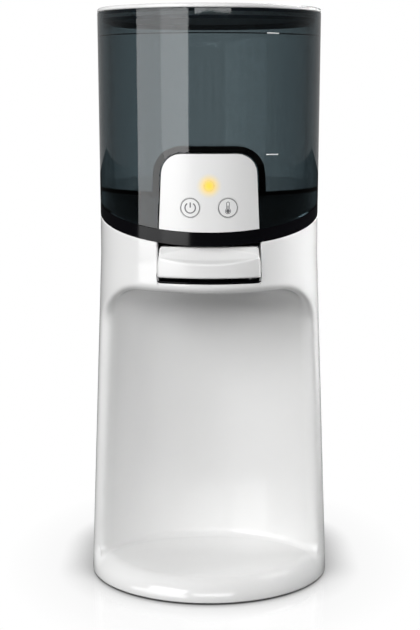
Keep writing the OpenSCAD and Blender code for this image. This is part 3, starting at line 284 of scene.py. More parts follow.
class BodyShape:
    """The white body as a distance field and as an unrolled outside."""

    lip_rise = (2 * MM, 26 * MM)  # heights over the bay's floor where the lip's round ends
    lintel_drop = (22 * MM, 3 * MM)  # depths under the ceiling where the lintel's round begins

    def __init__(self, s):
        self.s = s
        self.quarter = s.base_r * math.pi / 2

    def radius(self, z):
        """Radius of the outside: a straight taper up to the waist."""
        s = self.s
        return s.base_r + (s.waist_r - s.base_r) * np.clip(z / s.waist_z, 0, 1)

    def outside(self, q, z):
        """The outside unrolled: q runs round the front as an arc, then straight along the sides."""
        s = self.s
        turn = np.clip(q, -self.quarter, self.quarter) / s.base_r
        r = self.radius(z)
        along = np.abs(q) - self.quarter
        y = s.round_y - r * np.cos(turn) + np.maximum(along, 0)
        return stack(r * np.sin(turn), y, z + 0 * q)

    def bay_radius(self, z):
        """Radius of the bay: a lean cone, drawn in by the round under the ceiling."""
        s = self.s
        start = s.ceiling_z - s.ceiling_round
        cone = s.bay_r - math.tan(s.bay_draft) * (np.minimum(z, start) - s.floor_z - s.bay_foot)
        rise = np.clip(z - start, 0, s.ceiling_round)
        return cone - s.ceiling_round + np.sqrt(s.ceiling_round**2 - rise**2)

    def field(self, p):
        """Distance to the body: inside the outer wall and outside the bay, with rounded edges whose
        radius changes from the lip to the upright rim and from the rim to the lintel."""
        s = self.s
        x, y, z = p[..., 0], p[..., 1], p[..., 2]
        outer = np.hypot(x, np.minimum(y - s.round_y, 0)) - self.radius(z)
        lean = math.tan(s.bay_draft) * (z - s.floor_z - s.bay_foot)
        cone = np.hypot(x, y - s.bay_y) - s.bay_r + lean
        bay = rounded_max(cone * math.cos(s.bay_draft), z - s.ceiling_z, s.ceiling_round)
        bay = rounded_max(bay, s.floor_z - z, s.floor_round)
        low_part = 1 - smoothstep(z, *(s.floor_z + rise for rise in self.lip_rise))
        high_part = smoothstep(z, *(s.ceiling_z - drop for drop in self.lintel_drop))
        edge = s.rim_round + (s.lip_round - s.rim_round) * low_part
        edge = edge + (s.lintel_round - s.rim_round) * high_part
        return rounded_max(outer, -bay, edge)

    def seam(self, y):
        """Height of the upper edge: level at the sides, an arc and a straight fall to the front."""
        s = self.s
        half = s.seam_bend * math.tan(s.seam_slope / 2)
        centre = s.round_y + half
        drop = s.seam_bend**2 - np.minimum(y - centre, 0) ** 2
        arc = s.seam_z - s.seam_bend + np.sqrt(np.maximum(drop, 0))
        fall = s.seam_z - math.tan(s.seam_slope) * (s.round_y - y)
        return np.where(y > centre - s.seam_bend * math.sin(s.seam_slope), arc, fall)

    def rim(self, z):
        """Angle round the front at which the bay's circle cuts the outer circle at a height."""
        s = self.s
        apart = s.round_y - s.bay_y
        r, b = self.radius(z), self.bay_radius(z)
        ahead = (apart**2 + r**2 - b**2) / (2 * apart)
        return np.arccos(np.clip(ahead / r, -1, 1))


def body_loops(shape, across, up, rows_in, rows_out):
    """Grid of closed loops from the back wall of the bay out to the edge of the housing. Each loop
    runs along the bottom, up the right side, back along the top and down the left side, with the
    same counts on every loop."""
    s = shape.s
    t_across = np.arange(across) / across
    t_up = np.arange(up) / up
    top_z = s.ceiling_z - s.ceiling_round
    # Back wall of the bay: a patch in the angle round the bay's axis and the height
    bay_turn = math.radians(46)
    over_floor, over_wall = 1 * MM, 4 * MM
    turn = np.linspace(-bay_turn, bay_turn, across + 1)
    height = np.linspace(s.floor_z + over_floor, top_z + over_wall, up + 1)
    turns, heights = np.meshgrid(turn, height)
    r = shape.bay_radius(heights)
    patch = stack(r * np.sin(turns), s.bay_y + r * np.cos(turns), heights)
    inner = join(patch[0, :-1], patch[:-1, -1], patch[-1, :0:-1], patch[:0:-1, 0])
    # Edge of the lever's opening, from its upper corner down its side and round to the middle
    wall_n, bend_n, rise_n = across // 4, across // 8, up // 8
    well_n = across // 2 - wall_n
    well_turn = math.asin(s.well_x / s.waist_r) * s.base_r
    well_y = shape.outside(np.array(well_turn), np.array(s.seam_z))[1]
    corner_at = (well_turn - s.well_round, s.well_z + s.well_round)
    corner = arc_points(corner_at, s.well_round, 0, -90, steps=12)
    well = join([[well_turn, float(shape.seam(well_y))]], corner, [[0, s.well_z]])
    run = join([0], np.cumsum(np.linalg.norm(np.diff(well, axis=0), axis=1)))
    at = np.linspace(0, run[-1], well_n + 1)
    well_q, well_z = np.interp(at, run, well[:, 0]), np.interp(at, run, well[:, 1])
    # Edge of the housing: lower edge, split, seam, opening for the lever, seam and split
    end_q = shape.quarter + s.split_y - s.round_y
    side_q = np.full(up, end_q)
    seam_q = np.linspace(end_q, well_turn, wall_n, endpoint=False)
    seam_z = shape.seam(shape.outside(seam_q, np.full(wall_n, s.seam_z))[:, 1])
    half_q, half_z = join(seam_q, well_q), join(seam_z, well_z)
    foot_q, foot_z = end_q * (2 * t_across - 1), np.full(across, s.edge_z)
    rise_z = s.edge_z + (s.seam_z - s.edge_z) * t_up
    fall_z = s.seam_z + (s.edge_z - s.seam_z) * t_up
    edge_q = join(foot_q, side_q, half_q, -half_q[-2:0:-1], -side_q)
    edge_z = join(foot_z, rise_z, half_z, half_z[-2:0:-1], fall_z)
    # Sharp rim of the bay in unrolled places; its upper edge keeps below the opening's edge
    lean = math.radians(45)
    t_side, t_rise = np.linspace(0, 1, up - rise_n, endpoint=False), np.arange(rise_n)
    bend = lean + (math.pi / 2 - lean) * np.arange(bend_n) / bend_n
    side_z = join(s.floor_z + (top_z - s.floor_z) * t_side,
                  top_z + s.ceiling_round * np.sin(lean * t_rise / rise_n))
    corner_z = top_z + s.ceiling_round * math.sin(lean)
    bend_z = top_z + s.ceiling_round * np.sin(bend)
    ceiling_q = shape.rim(np.array(s.ceiling_z)) * s.base_r
    side_n = int(np.searchsorted(at, run[-2]))
    level_n = wall_n - bend_n + side_n
    level_q = np.linspace(ceiling_q, well_q[side_n], level_n, endpoint=False)
    flat_q = join(level_q, well_q[side_n:])
    top_q = join(shape.rim(bend_z) * s.base_r, flat_q)
    top_run = join(bend_z, np.full(len(flat_q), s.ceiling_z))
    bottom_q = shape.rim(np.array(s.floor_z)) * s.base_r * (2 * t_across - 1)
    left_z = join([corner_z], side_z[:0:-1])
    right_q, left_q = shape.rim(side_z) * s.base_r, -shape.rim(left_z) * s.base_r
    floor_run = np.full(across, s.floor_z)
    rim_q = join(bottom_q, right_q, top_q, -top_q[-2:0:-1], left_q)
    rim_z = join(floor_run, side_z, top_run, top_run[-2:0:-1], left_z)
    # Rows between the loops, closer together near the rim
    crowd = 1.7
    w_in = 1 - (1 - np.arange(rows_in) / rows_in) ** crowd
    w_out = (np.arange(rows_out + 1) / rows_out) ** crowd
    rim = shape.outside(rim_q, rim_z)
    rows = [inner * (1 - w) + rim * w for w in w_in]
    for w in w_out:
        rows.append(shape.outside(rim_q * (1 - w) + edge_q * w, rim_z * (1 - w) + edge_z * w))
    return patch, np.stack(rows)


def build_body(s):
    """The front housing: the loops slid onto the rounded body, an inner wall slid one wall deeper,
    and a strip round the outer edge that joins the two."""
    shape = BodyShape(s)
    across, up, rows_in, rows_out = 112, 84, 44, 36
    patch, loops = body_loops(shape, across, up, rows_in, rows_out)
    around = loops.shape[1]
    last = loops[-1].copy()
    start = join(patch[1:-1, 1:-1].reshape(-1, 3), loops.reshape(-1, 3))
    skin = slide_onto(start, shape.field)
    skin[-around:] = last
    inside = slide_onto(skin, shape.field, level=-s.wall)
    inside[-around:] = slide_onto(last, shape.field, level=-s.wall)
    inside[-around:, 2] = last[:, 2]
    # Numbers of the patch: its middle is stored first, its border is the first loop
    middle = (up - 1) * (across - 1)
    numbers = np.empty((up + 1, across + 1), int)
    numbers[1:-1, 1:-1] = np.arange(middle).reshape(up - 1, across - 1)
    ring = middle + np.arange(around)
    numbers[0, :-1], numbers[:-1, -1] = ring[:across], ring[across:across + up]
    numbers[-1, :0:-1] = ring[across + up:2 * across + up]
    numbers[:0:-1, 0] = ring[2 * across + up:]
    corners = [numbers[:-1, :-1], numbers[:-1, 1:], numbers[1:, 1:], numbers[1:, :-1]]
    back = stack(*corners).reshape(-1, 4)
    sides = grid_faces(rows_in + rows_out + 1, around, closed_columns=True, start=middle)
    quads = join(back, sides[:, ::-1])
    count = len(skin)
    edge = count - around + np.arange(around)
    after = np.roll(edge, -1)
    strip = stack(edge, after, after + count, edge + count)
    faces = join(quads, quads[:, ::-1] + count, strip[:, ::-1])
    return mesh_piece("body_housing", join(skin, inside), faces)


# Lever


class LeverShape:
    """The lever's pad as a distance field."""

    pad_h, inset_reach = 16.8 * MM, 11 * MM  # height of the pad, and over which its sides draw in
    foot_round, notch_round, ledge_round = 0.8 * MM, 0.3 * MM, 0.7 * MM
    ledge_rise = 0.5  # slope of the thumb ledge

    def __init__(self, body, fit):
        foot, self.high = low("dispense_lever")[2], high("dispense_lever")
        self.half = self.high[0]
        self.foot, self.top = foot, foot + self.pad_h
        self.round_y = body.round_y
        self.front_r = body.waist_r + fit.lever_proud
        face = body.round_y - body.waist_r
        self.back = face + fit.lever_back
        self.recess = face + fit.lever_recess
        self.ledge = self.top - fit.lever_ledge
        self.edge_round = fit.lever_round
        self.inset, self.corner = fit.lever_inset, fit.lever_corner

    def field(self, p):
        """Inside the front's round, the sides that draw in near the top, the foot, the top and the
        back, and outside the notch over the thumb ledge, each edge with a round."""
        x, y, z = p[..., 0], p[..., 1], p[..., 2]
        front = np.hypot(x, y - self.round_y) - self.front_r
        inset = self.inset * smoothstep(z, self.top - self.inset_reach, self.top)
        sides = np.abs(x) - self.half + inset
        solid = rounded_max(sides, z - self.top, self.corner)
        solid = rounded_max(solid, self.foot - z, self.foot_round)
        solid = rounded_max(solid, front, self.edge_round)
        solid = np.maximum(solid, y - self.back)
        over_ledge = self.ledge + self.ledge_rise * (y - self.recess) - z
        ledge = over_ledge * math.cos(math.atan(self.ledge_rise))
        notch = rounded_max(y - self.recess, ledge, self.notch_round)
        return rounded_max(solid, -notch, self.ledge_round)


def box_grid(lo, hi, counts):
    """Points and quads of a box whose six faces are grids, with shared edges."""
    nx, ny, nz = counts
    axes = np.arange(nx + 1), np.arange(ny + 1), np.arange(nz + 1)
    i, j, k = np.meshgrid(*axes, indexing="ij")
    shell = (i == 0) | (i == nx) | (j == 0) | (j == ny) | (k == 0) | (k == nz)
    numbers = np.full(shell.shape, -1)
    numbers[shell] = np.arange(shell.sum())
    t = stack(i / nx, j / ny, k / nz)[shell]
    points = np.asarray(lo) + t * (np.asarray(hi) - np.asarray(lo))

    def face(n, flip):
        """Quads of one face, from the numbers of its points."""
        q = stack(n[:-1, :-1], n[1:, :-1], n[1:, 1:], n[:-1, 1:]).reshape(-1, 4)
        return q[:, ::-1] if flip else q

    quads = []
    for axis, flip in enumerate((True, False, True)):
        layers = np.moveaxis(numbers, axis, 0)
        quads += [face(layers[0], flip), face(layers[-1], not flip)]
    return points, join(*quads)


def bar(lower, upper, x0, x1):
    """A bar from x0 to x1 between a lower and an upper path of [y, z] with the same count."""
    last = len(lower) - 1
    t, quads = box_grid((0, 0, 0), (1, 1, 1), (1, last, 1))
    j = np.rint(t[:, 1] * last).astype(int)
    side = np.where(t[:, 2:] > 0.5, upper[j], lower[j])
    return np.column_stack([x0 + (x1 - x0) * t[:, 0], side]), quads


def bored_rod(y, z, bore, r, half, steps=64, edge=0.5 * MM):
    """A rod along X with a bore: a closed outline of [x, radius] with broken edges, carried round
    the axis."""
    end = [(half - edge, r), (half, r - edge), (half, bore)]
    outline = np.array([(-x, radius) for x, radius in reversed(end)] + end)
    count = len(outline)
    turn = np.linspace(0, 2 * math.pi, steps, endpoint=False)[:, None]
    along, radius = np.broadcast_to(outline[:, 0], (steps, count)), outline[:, 1]
    points = stack(along, y + radius * np.cos(turn), z + radius * np.sin(turn))
    quads = grid_faces(steps, count, closed_rows=True, closed_columns=True)
    return points.reshape(-1, 3), quads


def lever_arm(shape, fit, pin_y, pin_z):
    """Lower and upper path of an arm: up from the hub, level over the valve, with a round pad near
    its end that sinks a little into the arm."""
    sink, pad_in, level_l, slant = 0.2 * MM, 3 * MM, 15.6 * MM, 1.4 * MM
    rise_n, level_n = 8, 41
    tip_y, top_z = shape.high[1], shape.high[2] - fit.arm_pad + sink

    def path(start_y, start_z, bend_y, level_z):
        """Straight from the start up to the bend, then level to the tip."""
        rise = np.linspace(start_y, bend_y, rise_n)
        y = join(rise, np.linspace(bend_y, tip_y, level_n)[1:])
        return y, np.interp(y, [start_y, bend_y], [start_z, level_z])

    pad_y, bend_y = tip_y - pad_in, tip_y - level_l
    under, over = (3 * MM, 2.2 * MM), (-1.5 * MM, 3 * MM)  # where the paths start from the pin
    lower = path(pin_y + under[0], pin_z + under[1], bend_y, top_z - fit.arm_t)
    upper_y, upper_z = path(pin_y + over[0], pin_z + over[1], bend_y - slant, top_z)
    swell = np.sqrt(np.maximum(fit.arm_pad**2 - (upper_y - pad_y) ** 2, 0)) - sink
    return stack(*lower), stack(upper_y, upper_z + np.maximum(swell, 0))


def build_lever(body, fit):
    """The lever's pad, a box of grids slid onto its field, and behind it the bored hub, the web and
    the two arms."""
    shape = LeverShape(body, fit)
    inset, counts = 0.6 * MM, (150, 30, 64)
    lo = np.array([-shape.half + inset, body.round_y - shape.front_r + inset, shape.foot + inset])
    hi = np.array([shape.half - inset, shape.back, shape.top - inset])
    points, quads = box_grid(lo, hi, counts)
    curve = shape.front_r - np.sqrt(shape.front_r**2 - points[:, 0] ** 2)
    points[:, 1] += (shape.back - points[:, 1]) / (shape.back - lo[1]) * curve
    pad = slide_onto(points, shape.field, rounds=40, longest=0.6 * MM), quads
    (_, near_y, foot_z), (_, far_y, head_z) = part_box("lever_pin")
    pin_y, pin_z, pin_r = (near_y + far_y) / 2, (foot_z + head_z) / 2, (far_y - near_y) / 2
    half = shape.half - fit.hub_in
    web_in, web_t, web_sink, web_gap, bore_gap = 2 * MM, 3 * MM, 1 * MM, 0.5 * MM, 0.06 * MM
    web_x = half - web_in
    web = box_grid((-web_x, shape.back - web_sink, pin_z - web_t),
                   (web_x, pin_y - pin_r - web_gap, pin_z + web_t), (1, 1, 1))
    hub = bored_rod(pin_y, pin_z, pin_r + bore_gap, fit.hub_r, half)
    arm = lever_arm(shape, fit, pin_y, pin_z)
    arms = [bar(*arm, side * fit.arm_x, side * (fit.arm_x + fit.arm_w)) for side in (-1, 1)]
    soft, sharp = [pad, hub], [web, *arms]
    shells = soft + sharp
    starts = np.cumsum([0] + [len(p) for p, _ in shells])
    faces = join(*(outward(p, q) + start for (p, q), start in zip(shells, starts)))
    flags = [True] * len(soft) + [False] * len(sharp)
    smooth = np.repeat(flags, [len(q) for _, q in shells])
    points = join(*(p for p, _ in shells))
    return mesh_piece("lever_pad", points, faces, smooth, welded=True)


# Valve springs


def build_spring(name, node, turns, wire, steps=40, sides=12):
    """A valve's spring: a round wire carried along a coil in its node's box, with flat ends."""
    lo, hi = low(node), high(node)
    a = np.linspace(0, turns * 2 * math.pi, turns * steps + 1)[:, None]
    b = np.linspace(0, 2 * math.pi, sides, endpoint=False)
    r = (hi[0] - lo[0]) / 2 - wire + wire * np.cos(b)
    z = lo[2] + wire + (hi[2] - lo[2] - 2 * wire) * a / a[-1] + wire * np.sin(b)
    points = stack(r * np.cos(a), (lo[1] + hi[1]) / 2 + r * np.sin(a), z)
    points = points.reshape(-1, 3)
    j = np.arange(sides // 2 - 1)
    end = stack(j, j + 1, sides - 2 - j, sides - 1 - j)
    wall = grid_faces(len(a), sides, closed_columns=True)
    quads = join(wall, end[:, ::-1], end + (len(a) - 1) * sides)
    return mesh_piece(name, points, outward(points, quads), np.arange(len(quads)) < len(wall))


# Lid


def stadium_loft(name, outline, body, back_y, steps=72):
    """An outline of [radius, height] carried round the plan: a half circle in front, straight sides
    and a half circle behind. The outline begins and ends on the axis, where the mesh is welded."""
    front = np.linspace(-math.pi / 2, math.pi / 2, steps)
    back = np.linspace(math.pi / 2, 1.5 * math.pi, steps)
    turn = join(front, back)[:, None]
    centre = np.repeat([body.round_y, back_y], steps)[:, None]
    r, z = outline[:, 0], outline[:, 1]
    x = np.sin(turn) * r
    points = stack(x, centre - np.cos(turn) * r, np.broadcast_to(z, x.shape))
    return mesh_piece(name, points, grid_faces(*x.shape, closed_rows=True), welded=True)


def build_lid(body, fit):
    """The lid's cap: a flat foot, an upright edge, a round and a slightly crowned top."""
    r, foot, top = high("lid_cap")[0], low("lid_cap")[2], high("lid_cap")[2]
    edge, crown, chamfer = fit.lid_edge, fit.lid_crown, 0.4 * MM
    flat = r - edge
    t = np.linspace(0.96, 0, 12)
    outline = join(
        [[0, foot], [0.5 * r, foot], [r - chamfer, foot], [r, foot + chamfer]],
        arc_points((flat, top - crown - edge), edge, 0, 86, steps=8),
        stack(flat * t, top - crown * t**3),
    )
    return stadium_loft("lid_cover", outline, body, body.split_y)


# Printed signs and marks


def on_round(flat, centre, body, r):
    """Flat places laid on the upright round front: x and z stay, y follows the circle."""
    x = flat[..., 0] + centre[0]
    y = body.round_y - np.sqrt((r + FILM) ** 2 - x**2)
    return stack(x, y, flat[..., 1] + centre[1])


def ribbon(path, width, closed=False):
    """A flat line of a width along a path, as a grid of two points by the path's length, and
    whether it is closed."""
    step = np.roll(path, -1, 0) - np.roll(path, 1, 0) if closed else np.gradient(path, axis=0)
    side = stack(-step[:, 1], step[:, 0])
    side /= np.linalg.norm(side, axis=-1, keepdims=True)
    return np.stack([path - side * width / 2, path + side * width / 2]), closed


def print_piece(name, ribbons, centre, body, r):
    """One printed sign from its ribbons, with the thickness of a film of ink."""
    points, quads, start = [], [], 0
    for flat, closed in ribbons:
        rows, columns = flat.shape[:2]
        points.append(on_round(flat, centre, body, r).reshape(-1, 3))
        quads.append(grid_faces(rows, columns, closed_columns=closed, start=start))
        start += rows * columns
    piece = mesh_piece(name, join(*points), join(*quads))
    film = piece.modifiers.new("film", "SOLIDIFY")
    film.thickness, film.offset = FILM, 0
    return piece


def circle(r, start=0.0, end=360.0, steps=64, closed=True, centre=(0.0, 0.0)):
    """A circle, or an arc of it, as a path."""
    a = np.radians(np.linspace(start, end, steps, endpoint=not closed))
    return stack(centre[0] + r * np.cos(a), centre[1] + r * np.sin(a))


def upright(foot, head, steps):
    """A straight upright path."""
    return stack(np.zeros(steps), np.linspace(foot, head, steps))


def power_sign(r, line):
    """An arc that is open at the top and an upright bar, in a ring of radius r."""
    thick, arc_r, bar_top = 1.5 * line, 0.56 * r, 0.58 * r
    arc = circle(arc_r, 125, 415, closed=False)
    return [ribbon(arc, thick), ribbon(upright(0.05 * bar_top, bar_top, 8), thick)]


def thermometer_sign(r, line):
    """The outline of a bulb with a tube, a column in the tube and a drop in the bulb, in a ring of
    radius r."""
    bulb, tube, foot, head = (share * r for share in (0.28, 0.15, -0.36, 0.48))
    half_gap = math.degrees(math.asin(tube / bulb))
    low_arc = circle(bulb, 90 + half_gap, 450 - half_gap, 40, False, (0, foot))
    cap = circle(tube, 0, 180, 16, False, (0, head))
    column = upright(foot + 0.7 * bulb, 0.5 * head, 6)
    drop = circle(0.38 * bulb, centre=(0, foot))
    return [ribbon(join(low_arc, cap), 0.8 * line, True), ribbon(column, line),
            ribbon(drop, 0.66 * bulb, True)]


def build_signs(body, fit):
    """A ring on each button, a power sign on the left one and a thermometer on the right one."""
    line, r = fit.sign_line, fit.ring_r
    made = []
    for name, sign in (("power_button", power_sign), ("temperature_button", thermometer_sign)):
        lo, hi = low(name), high(name)
        centre = ((lo[0] + hi[0]) / 2, (lo[2] + hi[2]) / 2)
        ribbons = [ribbon(circle(r), 0.8 * line, True), *sign(r, line)]
        made.append((print_piece(name + "_sign", ribbons, centre, body, body.waist_r), name))
    return made


def build_marks(body, fit):
    """Two level marks printed on the right of the tank's front, and behind its wall the fine line
    at the upper level, a section of [depth, height] carried round the front."""
    rim_r, rim_z = high("water_tank")[0], high("water_tank")[2]
    mark_n, line_n, behind = 24, 120, 2.6 * MM

    def wall_r(z):
        """Radius of the tank's wall: a straight taper from the seam to the rim."""
        return body.waist_r + (rim_r - body.waist_r) * (z - body.seam_z) / (rim_z - body.seam_z)

    path = stack(np.linspace(0, fit.mark_l, mark_n), np.zeros(mark_n))
    mark = [ribbon(path, fit.mark_h)]
    made = [print_piece(name, mark, (fit.mark_x, z), body, wall_r(z))
            for name, z in (("max_mark", fit.max_z), ("min_mark", fit.min_z))]
    turn = np.linspace(-math.pi / 2, math.pi / 2, line_n)[:, None]
    r = wall_r(fit.max_z) - behind - np.array([0.02, 0.3, 0.3, 0.02]) * MM
    z = fit.max_z + np.array([-0.3, -0.1, 0.1, 0.3]) * MM
    x, y = np.sin(turn) * r, body.round_y - np.cos(turn) * r
    points = stack(x, y, np.broadcast_to(z, x.shape)).reshape(-1, 3)
    first = np.arange(len(r))
    ends = np.stack([first[::-1], first + len(points) - len(r)])
    quads = join(grid_faces(line_n, len(r), closed_columns=True), ends)
    return made, mesh_piece("max_line", points, outward(points, quads))


# Finishes


def shader_math(operation, swapped=False):
    """A method that adds a Math node on a wire and another value."""

    def act(self, other):
        a, b = (other, self) if swapped else (self, other)
        return self.finish.node("Math", {0: a, 1: b}, operation=operation)

    return act


class Wire:
    """A shader value that works in Python expressions: each operator adds a Math node."""

    __add__ = __radd__ = shader_math("ADD")
    __sub__, __rsub__ = shader_math("SUBTRACT"), shader_math("SUBTRACT", swapped=True)
    __mul__ = __rmul__ = shader_math("MULTIPLY")
    __truediv__, __pow__ = shader_math("DIVIDE"), shader_math("POWER")
    larger, smaller = shader_math("MAXIMUM"), shader_math("MINIMUM")

    def __init__(self, finish, socket):
        self.finish, self.socket = finish, socket

    def clamp(self):
        """The value held between 0 and 1."""
        return self.smaller(1.0).larger(0.0)


class Finish:
    """A material, or the world, and its nodes."""

    def __init__(self, owner):
        owner.use_nodes = True
        self.owner, self.tree = owner, owner.node_tree
        self.tree.nodes.clear()

    def node(self, kind, inputs=None, out=0, **settings):
        """Adds a shader node: its settings first, then the values or wires of its sockets. Gives
        one of its outputs."""
        n = self.tree.nodes.new("ShaderNode" + kind)
        for key, value in settings.items():
            setattr(n, key, value)
        for key, value in (inputs or {}).items():
            if isinstance(value, Wire):
                self.tree.links.new(value.socket, n.inputs[key])
            else:
                n.inputs[key].default_value = value
        return Wire(self, n.outputs[out]) if n.outputs else None

    def place(self, scale=(1, 1, 1)):
        """Object coordinates, stretched."""
        return self.node("Mapping", {"Vector": self.node("TexCoord", out=3), "Scale": scale})

    def noise(self, scale, detail=3.0, stretch=(1, 1, 1)):
        """Fractal noise on the object's own places, about 0 to 1."""
        inputs = {"Vector": self.place(stretch), "Scale": scale, "Detail": detail}
        return self.node("TexNoise", inputs)

    def blend(self, factor, a, b, kind="MIX"):
        """Mix of two colours."""
        inputs = {0: factor, 6: a, 7: b}
        return self.node("Mix", inputs, out=2, data_type="RGBA", blend_type=kind)

    def bump(self, height, strength, distance):
        """A normal that leans with a height."""
        return self.node("Bump", {"Height": height, "Strength": strength, "Distance": distance})

    def seen(self):
        """1 for what the camera sees, straight or through a clear wall, and 0 for other rays."""
        straight, through = self.node("LightPath"), self.node("LightPath", out=6)
        return straight.larger(through)

    def surface(self, **sockets):
        """The Principled shader on the output, its sockets named with underscores for spaces."""
        inputs = {key.replace("_", " "): value for key, value in sockets.items()}
        self.node("OutputMaterial", {"Surface": self.node("BsdfPrincipled", inputs)})


def rgba(c, gain=1.0):
    """A colour with full alpha, brightened or darkened."""
    return tuple(min(1.0, v * gain) for v in c[:3]) + (1.0,)


def new_finish(name):
    """An empty material."""
    return Finish(bpy.data.materials.new(name))


def moulded(name, shade, rough=0.25, spread=0.06, grain=900.0, depth=0.02, coat=0.0, specular=0.5):
    """Moulded plastic: a faint cloud in the colour, uneven gloss and a very fine skin."""
    f = new_finish(name)
    cloud = f.noise(scale=28.0, detail=4.0)
    skin = f.bump(f.noise(grain, detail=2.0), strength=depth, distance=0.02 * MM)
    base = f.blend(cloud, rgba(shade, 0.975), rgba(shade, 1.02))
    f.surface(Base_Color=base, Roughness=rough - spread / 2 + cloud * spread, Normal=skin,
              Specular_IOR_Level=specular, Coat_Weight=coat, Coat_Roughness=0.06)
    return f.owner


def smoky(name, p):
    """Smoky clear wall: light passes and is taken up on its way through the wall."""
    f = new_finish(name)
    cloud = f.noise(scale=30.0, detail=2.0)
    wave = f.bump(f.noise(scale=18.0, detail=1.0), strength=0.015, distance=0.1 * MM)
    shader = f.node("BsdfPrincipled", {
        "Base Color": WHITE, "Roughness": 0.01 + cloud * 0.02, "IOR": 1.42,
        "Transmission Weight": 1.0, "Specular IOR Level": 0.45, "Normal": wave})
    haze = f.node("VolumeAbsorption", {"Color": rgba(p.smoke), "Density": p.smoke_density})
    f.node("OutputMaterial", {"Surface": shader, "Volume": haze})
    return f.owner


def brushed(name, shade, along, rough=0.32):
    """Brushed or drawn metal: streaks along one axis in colour, gloss and height."""
    f = new_finish(name)
    stretch = tuple(0.05 if a else 1.0 for a in along)
    streak = f.noise(scale=1400.0, detail=3.0, stretch=stretch)
    base = f.blend(streak, rgba(shade, 0.82), rgba(shade, 1.12))
    f.surface(Base_Color=base, Metallic=1.0, Roughness=rough - 0.08 + streak * 0.16,
              Normal=f.bump(streak, strength=0.08, distance=0.02 * MM))
    return f.owner


def soft_rubber(name, shade):
    """Matt rubber or silicone with a fine tooth and a dusty sheen."""
    f = new_finish(name)
    tooth = f.noise(scale=1600.0)
    base = f.blend(f.noise(scale=60.0), rgba(shade, 0.9), rgba(shade, 1.08))
    f.surface(Base_Color=base, Roughness=0.62 + tooth * 0.16, Sheen_Weight=0.15,
              Normal=f.bump(tooth, strength=0.15, distance=0.04 * MM))
    return f.owner


def circuit(name, shade):
    """Circuit board: lacquer with lighter tracks on a fine grid."""
    f = new_finish(name)
    inputs = {"Vector": f.place((1, 0.2, 1)), "Scale": 260.0}
    cells = f.node("TexVoronoi", inputs, feature="DISTANCE_TO_EDGE")
    track = (1 - cells * 14).clamp()
    base = f.blend(track, rgba(shade), rgba((0.06, 0.32, 0.16)))
    f.surface(Base_Color=base, Roughness=0.3 + track * 0.15, Coat_Weight=0.3,
              Normal=f.bump(track, strength=0.2, distance=0.05 * MM))
    return f.owner


def wound(name, shade):
    """Taped winding: fine turns across the coil."""
    f = new_finish(name)
    inputs = {"Vector": f.place(), "Scale": 500.0, "Distortion": 0.6}
    turns = f.node("TexWave", inputs, out=1, bands_direction="Z")
    f.surface(Base_Color=f.blend(turns, rgba(shade, 0.8), rgba(shade, 1.1)), Roughness=0.45,
              Normal=f.bump(turns, strength=0.2, distance=0.1 * MM))
    return f.owner


def lit_panel(name, p, spot, reach):
    """White panel with the status light shining through it, painted on: an emitted glow and a
    painted amber tint in the base colour, both falling off with the distance from the light as a
    bell curve."""
    f = new_finish(name)
    cloud = f.noise(scale=28.0, detail=4.0)
    far = f.node("VectorMath", {0: f.place(), 1: spot}, out=1, operation="DISTANCE") / reach
    bell = (1 - far * far).clamp() ** 2.2
    base = f.blend(cloud, rgba(p.white, 0.985), rgba(p.white, 1.02))
    glow = f.blend(bell, (0, 0, 0, 1), rgba(p.glow))
    # painted glow: the status light's amber light is painted into the base colour round the light
    painted_glow_tint = f.blend(bell, WHITE, rgba((1.0, 0.74, 0.08)))
    skin = f.bump(f.noise(scale=900.0, detail=2.0), strength=0.02, distance=0.02 * MM)
    f.surface(Base_Color=f.blend(1.0, base, painted_glow_tint, "MULTIPLY"), Roughness=0.3 + cloud * 0.06,
              Emission_Color=glow, Emission_Strength=0.35, Normal=skin)
    return f.owner


def paint(material, names):
    """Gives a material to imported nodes, named in one string."""
    for name in names.split():
        slots = NODES[name].data.materials
        slots.clear()
        slots.append(material)


def dress(piece, material):
    """Gives a material to a new piece."""
    piece.data.materials.append(material)
    return piece


# Operators


class WarmerOperator:
    """What the operators share."""

    bl_options = {"REGISTER", "UNDO"}


